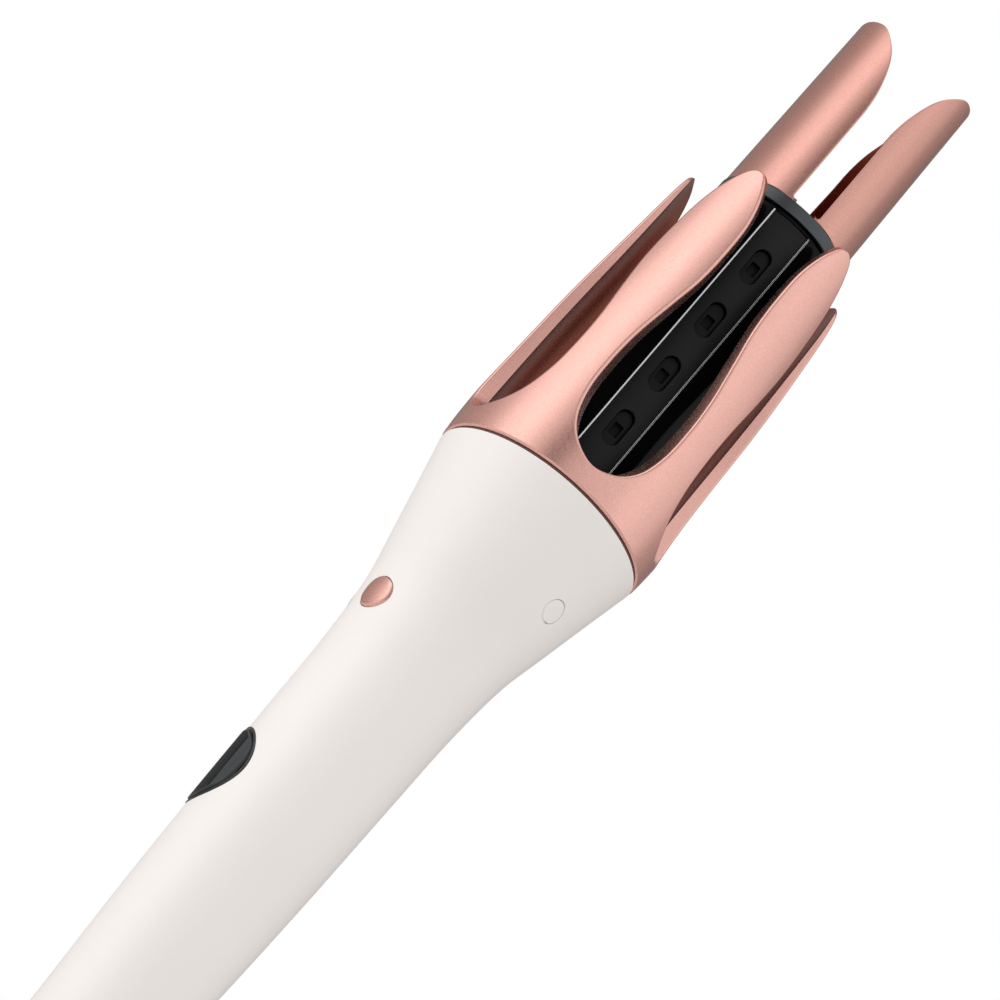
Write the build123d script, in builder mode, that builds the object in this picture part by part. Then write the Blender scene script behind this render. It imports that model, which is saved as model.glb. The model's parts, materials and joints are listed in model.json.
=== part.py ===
from build123d import *
import math
import os

# Automatic hair curler, millimetres.
# +Z runs along the tool from the cord end (Z = 0) to the prong tips.
# -Y looks out through the front petal opening and the slot between the prongs.
# -X is the control side, with the two buttons and the direction rocker.

# ---------------------------------------------------------------- driving dimensions

SEAM = 195.0                    # height of the joint between handle and petal shell
PETAL_TIP = SEAM + 90.5
CHAMBER_FLOOR = SEAM + 5.0      # ledge that the chamber floor is clamped under
SHELL_BOTTOM = SEAM + 0.3
SHELL_TOP = SEAM + 91.0
SKIRT_BORE = 25.2               # radius inside the shell's lower skirt
CHAMBER_BORE = 24.2             # radius inside the petals, at the floor
SIDE_OPENING = 72               # azimuth of the middle of each side opening
BACK_OPENING = 150              # azimuth of the middle of each back opening

BARREL_RADIUS = 16.0
BARREL_BORE = 14.3
BARREL_BOTTOM = SEAM + 5.2
BARREL_TOP = SEAM + 88.6
COLLAR_RADIUS = 17.35
COLLAR_TOP = SEAM + 91.7
PRONG_TOP = SEAM + 144.8
PRONG_BASE_RADIUS = 16.75
PRONG_TIP_RADIUS = 16.1
PRONG_WALL = 2.2
SLOT_HALF = 3.95                # half the slot between the two prongs

STRIP_WIDTH = 9.9
TRIM_WIDTH = 0.45
VENT_COUNT = 4
VENT_PITCH = 17.15
VENT_FIRST = SEAM + 22.1
VENT_LENGTH = 9.8
VENT_WIDTH = 4.3
VENT_DEPTH = 1.2

HANDLE_WALL = 2.0
GRIP_BOTTOM = 1.5               # height of the joint between handle and end cap
END_RADIUS = 13.2
SWIVEL_RADIUS = 6.45
CORD_RADIUS = 3.3

MODULE = 0.8
RING_TEETH = 44
PINION_TEETH = 12
GEAR_CENTRES = MODULE * (RING_TEETH - PINION_TEETH) / 2
MOTOR_OFFSET = 7.6              # the motor's axis, towards +X from the tool's axis

BUTTON_Z = SEAM - 42.8
BUTTON_OFFSET = 8.9             # each button's distance from the plane Y = 0
BUTTON_PROUD = 0.7
ROCKER_Z = SEAM - 93.7
ROCKER_CUP_RADIUS = 11.05
ROCKER_RADIUS = 10.0
ROCKER_PIVOT_X = -12.4
ROCKER_PROUD = 0.5
LEG_OFFSET = 7.0                # each rocker leg and its switch, from the plane Y = 0

BOARD_FACE = -6.2               # the face of the control board that carries the switches
BOARD_THICK = 1.2
SWITCH_BODY = 1.6
SWITCH_PLUNGER = 0.4

SCREW_Z = SEAM - 21.2
SCREW_AZIMUTHS = (43, 137)      # degrees from -Y towards +X

GAP = 0.05                      # clearance between pieces that are assembled together
RUNNING = 0.05                  # radial clearance of a turning fit

# Outline of the handle as radius and height, from the cord end to the seam.
HANDLE_PROFILE = [
    (13.2, GRIP_BOTTOM),
    (13.9, SEAM - 181),
    (14.7, SEAM - 161),
    (16.2, SEAM - 129),
    (17.0, SEAM - 103),
    (17.5, SEAM - 76),
    (18.0, SEAM - 54),
    (19.4, SEAM - 37),
    (21.9, SEAM - 25),
    (24.6, SEAM - 12.5),
    (27.3, SEAM - 0.3),
]

# Outline of the petal shell's outer face, from the seam to the petal tips.
SHELL_PROFILE = [
    (27.5, SHELL_BOTTOM),
    (27.85, SEAM + 5),
    (28.05, SEAM + 14),
    (27.5, SEAM + 32),
    (26.7, SEAM + 47),
    (25.55, SEAM + 61.6),
    (24.45, SEAM + 76),
    (23.45, SHELL_TOP),
]

# Inner face of the petals, from the chamber floor to the tips.
SHELL_INNER = [
    (CHAMBER_BORE, CHAMBER_FLOOR),
    (24.0, SEAM + 35),
    (23.1, SEAM + 62),
    (22.3, SHELL_TOP),
]

# One side of a petal opening: angle from its middle, and height.
OPENING_SIDE = [
    (0.0, SEAM + 6.3),
    (11.5, SEAM + 8.4),
    (19.5, SEAM + 12.8),
    (24.2, SEAM + 20),
    (25.5, SEAM + 29),
    (24.7, SEAM + 38),
    (21.5, SEAM + 48.5),
    (18.6, SEAM + 58),
    (18.0, SEAM + 67),
    (19.3, SEAM + 76.5),
    (22.8, SEAM + 82.8),
    (27.0, SEAM + 87.0),
    (31.2, SEAM + 89.6),
    (36.2, PETAL_TIP),
]

# The side of a back opening that borders a side petal.
BACK_OPENING_SIDE = [
    (0.0, SEAM + 6.3),
    (8.5, SEAM + 8.2),
    (13.5, SEAM + 12.8),
    (16.0, SEAM + 20),
    (16.5, SEAM + 29),
    (16.0, SEAM + 38),
    (15.0, SEAM + 48.5),
    (14.5, SEAM + 58),
    (15.0, SEAM + 67),
    (17.5, SEAM + 74.5),
    (21.5, SEAM + 80.5),
    (27.0, SEAM + 85.5),
    (34.0, SEAM + 89.0),
    (42.0, PETAL_TIP),
]

# The slot side of a prong, seen from the front: distance from the middle, and height.
PRONG_SHOULDER = [
    (SLOT_HALF, SEAM + 124),
    (4.9, SEAM + 128.7),
    (7.2, SEAM + 136.0),
    (9.7, SEAM + 139.6),
    (12.8, SEAM + 143.2),
    (16.3, PRONG_TOP),
]


# ---------------------------------------------------------------- helpers

def side_plane(x):
    """Plane facing the control side, with its own x towards -Y and its y along +Z."""
    return Plane(origin=(x, 0, 0), x_dir=(0, -1, 0), z_dir=(-1, 0, 0))


def front_plane(distance):
    """Plane facing the front, with its own y along +Z."""
    return Plane(origin=(0, -distance, 0), x_dir=(1, 0, 0), z_dir=(0, -1, 0))


def radial_plane(azimuth, radius, height):
    """Plane facing outwards at an azimuth counted from -Y towards +X."""
    angle = math.radians(azimuth)
    outward = Vector(math.sin(angle), -math.cos(angle), 0)
    along = Vector(math.cos(angle), math.sin(angle), 0)
    return Plane(origin=outward * radius + Vector(0, 0, height), x_dir=along, z_dir=outward)


def revolved(outline):
    """Solid of revolution about Z from a closed list of (radius, height) corners."""
    with BuildPart() as turned:
        with BuildSketch(Plane.XZ):
            with BuildLine():
                Polyline(*outline, close=True)
            make_face()
        revolve(axis=Axis.Z)
    return turned.part


def ring(outer, inner, low, high):
    """Plain ring about Z."""
    return revolved([(inner, low), (outer, low), (outer, high), (inner, high)])


def handle_body(offset):
    """The handle's outer form as a solid, grown or shrunk by offset."""
    points = [(radius + offset, height) for radius, height in HANDLE_PROFILE]
    low = points[0][1]
    high = points[-1][1]
    with BuildPart() as body:
        with BuildSketch(Plane.XZ):
            with BuildLine():
                Spline(*points)
                Polyline(points[-1], (0, high), (0, low), points[0])
            make_face()
        revolve(axis=Axis.Z)
    return body.part


def gear_outline(teeth, thin, addendum, dedendum, centre=0.0):
    """Corners of an involute gear outline about a centre on X; thin narrows the teeth for backlash."""
    pressure = math.radians(20)
    pitch = MODULE * teeth / 2
    base = pitch * math.cos(pressure)
    tip = pitch + addendum * MODULE
    root = pitch - dedendum * MODULE
    half_pitch = math.pi / (2 * teeth) - thin / (2 * pitch)

    def half_angle(radius):
        reach = math.acos(min(1.0, base / radius))
        return half_pitch + math.tan(pressure) - pressure - (math.tan(reach) - reach)

    start = max(base, root)
    flank = [start + (tip - start) * step / 3 for step in range(4)]
    corners = []
    for tooth in range(teeth):
        middle = 2 * math.pi * tooth / teeth
        side = [(radius, -half_angle(radius)) for radius in flank]
        if root < start:
            side.insert(0, (root, -half_angle(start)))
        other = [(radius, -angle) for radius, angle in reversed(side)]
        for radius, angle in side + other:
            turn = middle + angle
            corners.append((centre + radius * math.cos(turn), radius * math.sin(turn)))
    return corners


def finish(part, name):
    """Label a piece and write its file."""
    part.part.label = name
    export_step(part.part, f"parts/{name}.step")


os.makedirs("parts", exist_ok=True)


# ---------------------------------------------------------------- petal shell

def shell_radius(height):
    """Outer radius of the petal shell at a height, between its outline's points."""
    for (low_radius, low), (high_radius, high) in zip(SHELL_PROFILE, SHELL_PROFILE[1:]):
        if low <= height <= high:
            return low_radius + (high_radius - low_radius) * (height - low) / (high - low)
    return SHELL_PROFILE[-1][0]


def opening_edge(side, share=1.0):
    """One edge of an opening seen from straight outside, with its angles scaled by share."""
    return [
        (shell_radius(height) * math.sin(math.radians(angle * share)), height) for angle, height in side
    ]


def opening_cutter(left, right, azimuth):
    """Cutter for one opening, with the petals' tips in its two upper corners."""
    mirrored = [(-x, height) for x, height in reversed(left[1:])]
    with BuildPart() as cutter:
        with BuildSketch(front_plane(12)):
            with BuildLine():
                Spline(*mirrored, *right)
                Polyline(
                    right[-1],
                    (right[-1][0], CUTTER_TOP),
                    (-left[-1][0], CUTTER_TOP),
                    (-left[-1][0], PETAL_TIP),
                )
            make_face()
        extrude(amount=20)
    return cutter.part.rotate(Axis.Z, azimuth)


CUTTER_TOP = SHELL_TOP + 4
NARROWING = (180 - BACK_OPENING) / OPENING_SIDE[-1][0]
full_edge = opening_edge(OPENING_SIDE)
side_petal_edge = opening_edge(BACK_OPENING_SIDE)
back_petal_edge = opening_edge(OPENING_SIDE, NARROWING)

# The shell is turned from the back, so that its seam line lies in the middle of a petal.
with BuildPart() as petal_shell:
    with BuildSketch(Plane.YZ):
        with BuildLine():
            Spline(*SHELL_PROFILE)
            Line(SHELL_PROFILE[-1], SHELL_INNER[-1])
            Spline(*reversed(SHELL_INNER))
            Polyline(
                SHELL_INNER[0],
                (SKIRT_BORE, CHAMBER_FLOOR),
                (SKIRT_BORE, SHELL_BOTTOM),
                SHELL_PROFILE[0],
            )
        make_face()
    revolve(axis=Axis.Z)
    for azimuth in (0, SIDE_OPENING, -SIDE_OPENING):
        add(opening_cutter(full_edge, full_edge, azimuth), mode=Mode.SUBTRACT)
    add(opening_cutter(side_petal_edge, back_petal_edge, BACK_OPENING), mode=Mode.SUBTRACT)
    add(opening_cutter(back_petal_edge, side_petal_edge, -BACK_OPENING), mode=Mode.SUBTRACT)
finish(petal_shell, "petal_shell")

# Thin dark gasket between the handle and the petal shell.
with BuildPart() as seam_ring:
    add(ring(27.0, 25.3, SEAM - 0.25, SEAM + 0.25))
finish(seam_ring, "seam_ring")

# Floor of the hair chamber, clamped under the shell's ledge, open in the middle for the barrel.
with BuildPart() as chamber_floor:
    add(revolved([
        (18.9, SEAM + 3.5),
        (25.1, SEAM + 3.5),
        (25.1, CHAMBER_FLOOR),
        (CHAMBER_BORE - GAP, CHAMBER_FLOOR),
        (CHAMBER_BORE - GAP, SEAM + 6.0),
        (16.5, SEAM + 6.0),
        (16.5, SEAM + 4.8),
        (18.9, SEAM + 4.8),
    ]))
finish(chamber_floor, "chamber_floor")


# ---------------------------------------------------------------- turning barrel

# Sleeve with a window front and back for the vent strips and their bright edges.
WINDOW_WIDTH = STRIP_WIDTH + 2 * TRIM_WIDTH + 2 * GAP
WINDOW_LOW = SEAM + 9
WINDOW_HIGH = SEAM + 87.7

with BuildPart() as barrel_sleeve:
    add(ring(BARREL_RADIUS, BARREL_BORE, BARREL_BOTTOM, BARREL_TOP))
    with BuildSketch(Plane.XZ.offset(-40)):
        with Locations((0, (WINDOW_LOW + WINDOW_HIGH) / 2)):
            Rectangle(WINDOW_WIDTH, WINDOW_HIGH - WINDOW_LOW)
    extrude(amount=80, mode=Mode.SUBTRACT)
finish(barrel_sleeve, "barrel_sleeve")


def make_vent_strip(name, turn):
    """Matt strip with a row of recessed vents, each with a small hole through it."""
    outer = BARREL_RADIUS - 0.25
    floor = outer - VENT_DEPTH
    rows = [(0, VENT_FIRST + VENT_PITCH * row) for row in range(VENT_COUNT)]
    holes = [(x, height - 0.4) for x, height in rows]
    with BuildPart() as strip:
        with BuildSketch(Plane.XY.offset(WINDOW_LOW + GAP)):
            Circle(outer)
            Circle(13.6, mode=Mode.SUBTRACT)
            with Locations((0, -BARREL_RADIUS)):
                Rectangle(STRIP_WIDTH, 10, mode=Mode.INTERSECT)
        extrude(amount=WINDOW_HIGH - WINDOW_LOW - 2 * GAP)
        with BuildSketch(front_plane(floor)):
            with Locations(*rows):
                SlotOverall(VENT_LENGTH, VENT_WIDTH, rotation=90)
        extrude(amount=4, mode=Mode.SUBTRACT)
        with BuildSketch(front_plane(12)):
            with Locations(*holes):
                Rectangle(2.3, 3.2)
        extrude(amount=6, mode=Mode.SUBTRACT)
    with BuildPart() as placed:
        add(strip.part, rotation=(0, 0, turn))
    finish(placed, name)


make_vent_strip("vent_strip_front", 0)
make_vent_strip("vent_strip_back", 180)

# Four bright edge strips, two beside each vent strip.
TRIM_X = STRIP_WIDTH / 2 + GAP / 2 + TRIM_WIDTH / 2
TRIM_Y = 14.6

with BuildPart() as edge_trims:
    with Locations(*[(x, y, WINDOW_LOW + GAP) for x in (-TRIM_X, TRIM_X) for y in (-TRIM_Y, TRIM_Y)]):
        Box(
            TRIM_WIDTH - GAP / 2,
            1.5,
            WINDOW_HIGH - WINDOW_LOW - 2 * GAP,
            align=(Align.CENTER, Align.CENTER, Align.MIN),
        )
finish(edge_trims, "edge_trims")

# Dark collar over the barrel's top, around the feet of the prongs.
with BuildPart() as collar:
    add(revolved([
        (14.45, BARREL_TOP),
        (COLLAR_RADIUS, BARREL_TOP),
        (COLLAR_RADIUS, COLLAR_TOP),
        (16.5, COLLAR_TOP),
        (16.5, SEAM + 89.4),
        (14.45, SEAM + 89.4),
    ]))
    fillet(collar.edges().filter_by(GeomType.CIRCLE).sort_by(SortBy.RADIUS)[-2:], 0.3)
finish(collar, "collar")

# Disc that closes the barrel's top, carries the prongs and holds the upper bearing.
TAB_SCREWS = 11.5
CARRIER_LOW = SEAM + 86.9
CARRIER_TOP = SEAM + 91.2
SCREW_SPREAD = (50, 130)

with BuildPart() as prong_carrier:
    add(revolved([
        (8.0, CARRIER_LOW),
        (13.5, CARRIER_LOW),
        (13.5, WINDOW_HIGH + GAP),
        (BARREL_BORE - GAP, WINDOW_HIGH + GAP),
        (BARREL_BORE - GAP, CARRIER_TOP),
        (8.0, CARRIER_TOP),
    ]))
    with BuildSketch(Plane.XY.offset(CARRIER_TOP)):
        for angle in SCREW_SPREAD + tuple(-a for a in SCREW_SPREAD):
            with Locations(radial_plane(angle, TAB_SCREWS, 0).origin):
                Circle(1.05)
    extrude(amount=-3.4, mode=Mode.SUBTRACT)
finish(prong_carrier, "prong_carrier")

# Each prong is a half tube with a rounded shoulder and an inner tab for its two screws.
PRONG_FOOT = SEAM + 89.45
FOOT_SLOT = 2.9

with BuildPart() as prong_outline:
    with BuildSketch(front_plane(0)):
        with BuildLine():
            Polyline(
                (FOOT_SLOT, PRONG_FOOT),
                (FOOT_SLOT, COLLAR_TOP),
                (SLOT_HALF, COLLAR_TOP + 1.3),
                (SLOT_HALF, PRONG_SHOULDER[0][1]),
            )
            Spline(*PRONG_SHOULDER)
            Polyline(
                PRONG_SHOULDER[-1],
                (20, PRONG_TOP),
                (20, PRONG_FOOT),
                (FOOT_SLOT, PRONG_FOOT),
            )
        make_face()
    extrude(amount=20, both=True)

with BuildPart() as prong_tube:
    add(revolved([
        (14.5, PRONG_FOOT),
        (16.45, PRONG_FOOT),
        (16.45, COLLAR_TOP + GAP),
        (PRONG_BASE_RADIUS, COLLAR_TOP + GAP),
        (PRONG_TIP_RADIUS, PRONG_TOP + 1),
        (PRONG_TIP_RADIUS - PRONG_WALL + 0.3, PRONG_TOP + 1),
        (PRONG_BASE_RADIUS - PRONG_WALL, COLLAR_TOP + 3),
        (14.5, COLLAR_TOP + 1.6),
        (9.0, COLLAR_TOP + 1.6),
        (9.0, CARRIER_TOP + GAP),
        (14.5, CARRIER_TOP + GAP),
    ]))


def make_prong(name, turn):
    with BuildPart() as prong:
        add(prong_tube.part)
        add(prong_outline.part, mode=Mode.INTERSECT)
        for angle in SCREW_SPREAD:
            centre = radial_plane(angle, TAB_SCREWS, 0).origin
            with BuildSketch(Plane.XY.offset(CARRIER_TOP)):
                with Locations(centre):
                    Circle(1.1)
            extrude(amount=6, mode=Mode.SUBTRACT)
    with BuildPart() as placed:
        add(prong.part, rotation=(0, 0, turn))
    finish(placed, name)


make_prong("prong_right", 0)
make_prong("prong_left", 180)

# Four screws that hold the prongs' tabs to the carrier.
with BuildPart() as prong_screws:
    for angle in SCREW_SPREAD + tuple(-a for a in SCREW_SPREAD):
        centre = radial_plane(angle, TAB_SCREWS, 0).origin
        with BuildSketch(Plane.XY.offset(SEAM + 88)):
            with Locations(centre):
                Circle(1.0)
        extrude(amount=COLLAR_TOP + 1.65 - SEAM - 88)
        with BuildSketch(Plane.XY.offset(COLLAR_TOP + 1.65)):
            with Locations(centre):
                Circle(1.9)
        extrude(amount=1.2)
finish(prong_screws, "prong_screws")

# Hub that carries the sleeve, runs in the lower bearing and takes the ring gear.
HUB_RADIUS = 16.2
BEARING_LOW = SEAM - 2
BEARING_HIGH = SEAM + 3

with BuildPart() as barrel_hub:
    add(revolved([
        (14.7, SEAM - 5),
        (20.0, SEAM - 5),
        (20.0, SEAM - 2.3),
        (HUB_RADIUS, SEAM - 2.3),
        (HUB_RADIUS, BARREL_BOTTOM),
        (BARREL_BORE - GAP, BARREL_BOTTOM),
        (BARREL_BORE - GAP, SEAM + 8.2),
        (13.4, SEAM + 8.2),
        (13.4, SEAM - 2.3),
        (14.7, SEAM - 2.3),
    ]))
finish(barrel_hub, "barrel_hub")

# Snap ring above the lower bearing, which keeps the barrel from dropping out.
with BuildPart() as thrust_ring:
    add(ring(18.4, HUB_RADIUS + 0.02, SEAM + 3.3, SEAM + 4.4))
finish(thrust_ring, "thrust_ring")

# Ring gear with internal teeth under the hub's flange.
with BuildPart() as ring_gear:
    with BuildSketch(Plane.XY.offset(SEAM - 12)):
        Circle(20.0)
        with BuildLine():
            Polyline(*gear_outline(RING_TEETH, -0.12, 1.25, 0.9), close=True)
        make_face(mode=Mode.SUBTRACT)
    extrude(amount=7 - GAP)
finish(ring_gear, "ring_gear")

# Bush on top of the fixed core that the barrel's top turns on.
with BuildPart() as upper_bearing:
    add(ring(8.0 - 0.02, 5.0 + RUNNING, CARRIER_LOW, CARRIER_TOP))
finish(upper_bearing, "upper_bearing")


# ---------------------------------------------------------------- fixed heater core

CORE_LOW = SEAM + 9
CORE_HIGH = SEAM + 84

# Aluminium core inside the barrel, with a slot for the heater plates and two sensor bores.
with BuildPart() as heater_core:
    add(ring(13.0, 0, CORE_LOW, CORE_HIGH))
    with BuildSketch(Plane.XY.offset(CORE_LOW)):
        Rectangle(15, 5)
    extrude(amount=68, mode=Mode.SUBTRACT)
    with BuildSketch(Plane.XY.offset(CORE_LOW)):
        with Locations((0, 8.4), (0, -8.4)):
            Circle(2.0)
    extrude(amount=40, mode=Mode.SUBTRACT)
    with BuildSketch(Plane.XY.offset(CORE_HIGH)):
        Circle(5.0)
    extrude(amount=6.9)
finish(heater_core, "heater_core")

# Two ceramic heater plates, one against each side of the slot.
with BuildPart() as heater_plates:
    with Locations((0, 1.4, CORE_LOW + 4), (0, -1.4, CORE_LOW + 4)):
        Box(13, 2.1, 60, align=(Align.CENTER, Align.CENTER, Align.MIN))
finish(heater_plates, "heater_plates")

with BuildPart() as thermal_fuse:
    with Locations((0, 8.4, CORE_LOW + 6)):
        Cylinder(1.9, 14, align=(Align.CENTER, Align.CENTER, Align.MIN))
finish(thermal_fuse, "thermal_fuse")

with BuildPart() as thermistor:
    with Locations((0, -8.4, CORE_LOW + 26)):
        Cylinder(1.9, 9, align=(Align.CENTER, Align.CENTER, Align.MIN))
finish(thermistor, "thermistor")

# Heat-proof stem that stands on the gear case and carries the core.
CASE_FLOOR = SEAM - 16

with BuildPart() as core_stem:
    add(revolved([
        (4.2, CASE_FLOOR),
        (6.2, CASE_FLOOR),
        (6.2, SEAM + 7.4),
        (12.4, SEAM + 7.4),
        (12.4, CORE_LOW),
        (4.2, CORE_LOW),
    ]))
finish(core_stem, "core_stem")


# ---------------------------------------------------------------- head frame and gear case

# Ring plate at the top of the handle that holds the lower bearing.
HEAD_SCREWS = 22.9

with BuildPart() as head_frame:
    add(revolved([
        (19.0, BEARING_LOW),
        (24.6, BEARING_LOW),
        (24.6, SEAM + 0.3),
        (25.1, SEAM + 0.3),
        (25.1, SEAM + 3.45),
        (19.0, SEAM + 3.45),
    ]))
    with BuildSketch(Plane.XY.offset(SEAM + 3.45)):
        with PolarLocations(HEAD_SCREWS, 3, start_angle=30):
            Circle(1.85)
    extrude(amount=-1.5, mode=Mode.SUBTRACT)
    with BuildSketch(Plane.XY.offset(SEAM + 3.45)):
        with PolarLocations(HEAD_SCREWS, 3, start_angle=30):
            Circle(0.98)
    extrude(amount=-8, mode=Mode.SUBTRACT)
finish(head_frame, "head_frame")

with BuildPart() as lower_bearing:
    add(ring(19.0 - 0.02, HUB_RADIUS + RUNNING, BEARING_LOW, BEARING_HIGH))
finish(lower_bearing, "lower_bearing")

# Three screws from the head frame down into the gear case's rim.
with BuildPart() as head_screws:
    with BuildSketch(Plane.XY.offset(SEAM + 1.97)):
        with PolarLocations(HEAD_SCREWS, 3, start_angle=30):
            Circle(1.8)
    extrude(amount=1.3)
    with BuildSketch(Plane.XY.offset(SEAM - 3.9)):
        with PolarLocations(HEAD_SCREWS, 3, start_angle=30):
            Circle(0.95)
    extrude(amount=6)
finish(head_screws, "head_screws")

# Cup around the ring gear; its floor carries the motor, and its bosses take the handle's screws.
BOSS_INNER = 14.4
BOSS_OUTER = 18.5
HANDLE_BOSS_RADIUS = 3.8
FRAME_SCREWS = ((-8.0, 8.5), (-8.0, -8.5))
MOTOR_SCREWS = ((MOTOR_OFFSET, 7.0), (MOTOR_OFFSET, -7.0))

with BuildPart() as gear_case:
    add(revolved([
        (4.2, CASE_FLOOR - 2),
        (21.0, CASE_FLOOR - 2),
        (21.2, CASE_FLOOR),
        (21.2, SEAM - 4.2),
        (24.2, SEAM - 4.2),
        (24.2, BEARING_LOW - GAP),
        (20.4, BEARING_LOW - GAP),
        (20.4, CASE_FLOOR),
        (4.2, CASE_FLOOR),
    ]))
    with BuildSketch(Plane.XY.offset(CASE_FLOOR)):
        with Locations((GEAR_CENTRES, 0)):
            Circle(2.6)
        with Locations(*FRAME_SCREWS, *MOTOR_SCREWS):
            Circle(1.05)
    extrude(amount=-3, mode=Mode.SUBTRACT)
    with BuildSketch(Plane.XY.offset(BEARING_LOW)):
        with PolarLocations(HEAD_SCREWS, 3, start_angle=30):
            Circle(0.98)
    extrude(amount=-3, mode=Mode.SUBTRACT)
    for azimuth in SCREW_AZIMUTHS:
        with BuildSketch(radial_plane(azimuth, BOSS_INNER, (SCREW_Z - 3 + CASE_FLOOR - 2) / 2)):
            Rectangle(5.6, CASE_FLOOR - 2 - SCREW_Z + 3)
        extrude(amount=BOSS_OUTER - BOSS_INNER)
        with BuildSketch(radial_plane(azimuth, BOSS_OUTER, SCREW_Z)):
            Circle(1.25)
        extrude(amount=-3.9, mode=Mode.SUBTRACT)
        with BuildSketch(radial_plane(azimuth, BOSS_OUTER, SCREW_Z)):
            Circle(HANDLE_BOSS_RADIUS + 0.1)
        extrude(amount=6, mode=Mode.SUBTRACT)
finish(gear_case, "gear_case")

# Gear motor: gearbox with an offset shaft bush, motor can and rear boss.
GEARBOX_LOW = SEAM - 30
MOTOR_LOW = SEAM - 56

with BuildPart() as gear_motor:
    with BuildSketch(Plane.XY.offset(GEARBOX_LOW)):
        with Locations((MOTOR_OFFSET, 0)):
            Circle(9.5)
    extrude(amount=CASE_FLOOR - 2 - GEARBOX_LOW)
    with BuildSketch(Plane.XY.offset(CASE_FLOOR - 2)):
        with Locations((GEAR_CENTRES, 0)):
            Circle(2.5)
    extrude(amount=2)
    with BuildSketch(Plane.XY.offset(MOTOR_LOW)):
        with Locations((MOTOR_OFFSET, 0)):
            Circle(7.9)
    extrude(amount=GEARBOX_LOW - MOTOR_LOW)
    with BuildSketch(Plane.XY.offset(MOTOR_LOW)):
        with Locations((MOTOR_OFFSET, 0)):
            Circle(3.0)
    extrude(amount=-1.2)
    with BuildSketch(Plane.XY.offset(CASE_FLOOR)):
        with Locations((GEAR_CENTRES, 0)):
            Circle(1.5 + RUNNING)
    extrude(amount=-8, mode=Mode.SUBTRACT)
    with BuildSketch(Plane.XY.offset(CASE_FLOOR - 2)):
        with Locations(*MOTOR_SCREWS):
            Circle(0.98)
    extrude(amount=-4, mode=Mode.SUBTRACT)
finish(gear_motor, "gear_motor")

with BuildPart() as motor_screws:
    with BuildSketch(Plane.XY.offset(CASE_FLOOR - 5.5)):
        with Locations(*MOTOR_SCREWS):
            Circle(0.95)
    extrude(amount=5.5 + GAP)
    with BuildSketch(Plane.XY.offset(CASE_FLOOR + GAP)):
        with Locations(*MOTOR_SCREWS):
            Circle(1.8)
    extrude(amount=1.2)
finish(motor_screws, "motor_screws")

# Pinion on the motor's output shaft, in mesh with the ring gear.
PINION_LOW = SEAM - 11.5
SHAFT_LOW = CASE_FLOOR - 7

with BuildPart() as drive_pinion:
    with BuildSketch(Plane.XY.offset(PINION_LOW)):
        with BuildLine():
            Polyline(*gear_outline(PINION_TEETH, 0.12, 0.9, 1.15, GEAR_CENTRES), close=True)
        make_face()
    extrude(amount=6)
    with BuildSketch(Plane.XY.offset(SHAFT_LOW)):
        with Locations((GEAR_CENTRES, 0)):
            Circle(1.5)
    extrude(amount=PINION_LOW - SHAFT_LOW)
finish(drive_pinion, "drive_pinion")


# ---------------------------------------------------------------- handle

with BuildPart() as button_outline:
    with BuildSketch(side_plane(-9)):
        with Locations((BUTTON_OFFSET, BUTTON_Z), (-BUTTON_OFFSET, BUTTON_Z)):
            Ellipse(4.05, 4.5)
    extrude(amount=14)

with BuildPart() as handle_shell:
    add(handle_body(0))
    add(handle_body(-HANDLE_WALL), mode=Mode.SUBTRACT)
    for azimuth in SCREW_AZIMUTHS:
        with BuildSketch(radial_plane(azimuth, BOSS_OUTER + 0.1, SCREW_Z)):
            Circle(HANDLE_BOSS_RADIUS)
        extrude(amount=2.6)
    add(button_outline.part, mode=Mode.SUBTRACT)
    with BuildSketch(side_plane(-9)):
        with Locations((0, ROCKER_Z)):
            Circle(ROCKER_CUP_RADIUS + GAP)
    extrude(amount=14, mode=Mode.SUBTRACT)
    for azimuth in SCREW_AZIMUTHS:
        with BuildSketch(radial_plane(azimuth, 20.4, SCREW_Z)):
            Circle(2.95)
        extrude(amount=6, mode=Mode.SUBTRACT)
        with BuildSketch(radial_plane(azimuth, BOSS_OUTER, SCREW_Z)):
            Circle(1.35)
        extrude(amount=3, mode=Mode.SUBTRACT)
finish(handle_shell, "handle_shell")

# Two screws that fix the handle to the gear case, and the caps that hide them.
SCREW_HEAD = 20.45

with BuildPart() as handle_screws:
    for azimuth in SCREW_AZIMUTHS:
        with BuildSketch(radial_plane(azimuth, SCREW_HEAD, SCREW_Z)):
            Circle(1.2)
        extrude(amount=BOSS_INNER + 0.6 - SCREW_HEAD)
        with BuildSketch(radial_plane(azimuth, SCREW_HEAD, SCREW_Z)):
            Circle(2.4)
        extrude(amount=1.0)
finish(handle_screws, "handle_screws")

with BuildPart() as screw_caps:
    for azimuth in SCREW_AZIMUTHS:
        with BuildSketch(radial_plane(azimuth, 21.6, SCREW_Z)):
            Circle(2.9)
        extrude(amount=3)
    add(handle_body(-0.05), mode=Mode.INTERSECT)
finish(screw_caps, "screw_caps")

# End cap that the tool stands on, with a bore for the cord's swivel bush.
with BuildPart() as end_cap:
    add(revolved([
        (SWIVEL_RADIUS + RUNNING, 0),
        (END_RADIUS, 0),
        (END_RADIUS, GRIP_BOTTOM),
        (END_RADIUS - HANDLE_WALL - GAP, GRIP_BOTTOM),
        (END_RADIUS - HANDLE_WALL - GAP, 7),
        (SWIVEL_RADIUS + RUNNING, 7),
    ]))
    fillet(end_cap.edges().group_by(Axis.Z)[0].sort_by(SortBy.RADIUS)[-1], 1.0)
finish(end_cap, "end_cap")

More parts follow.
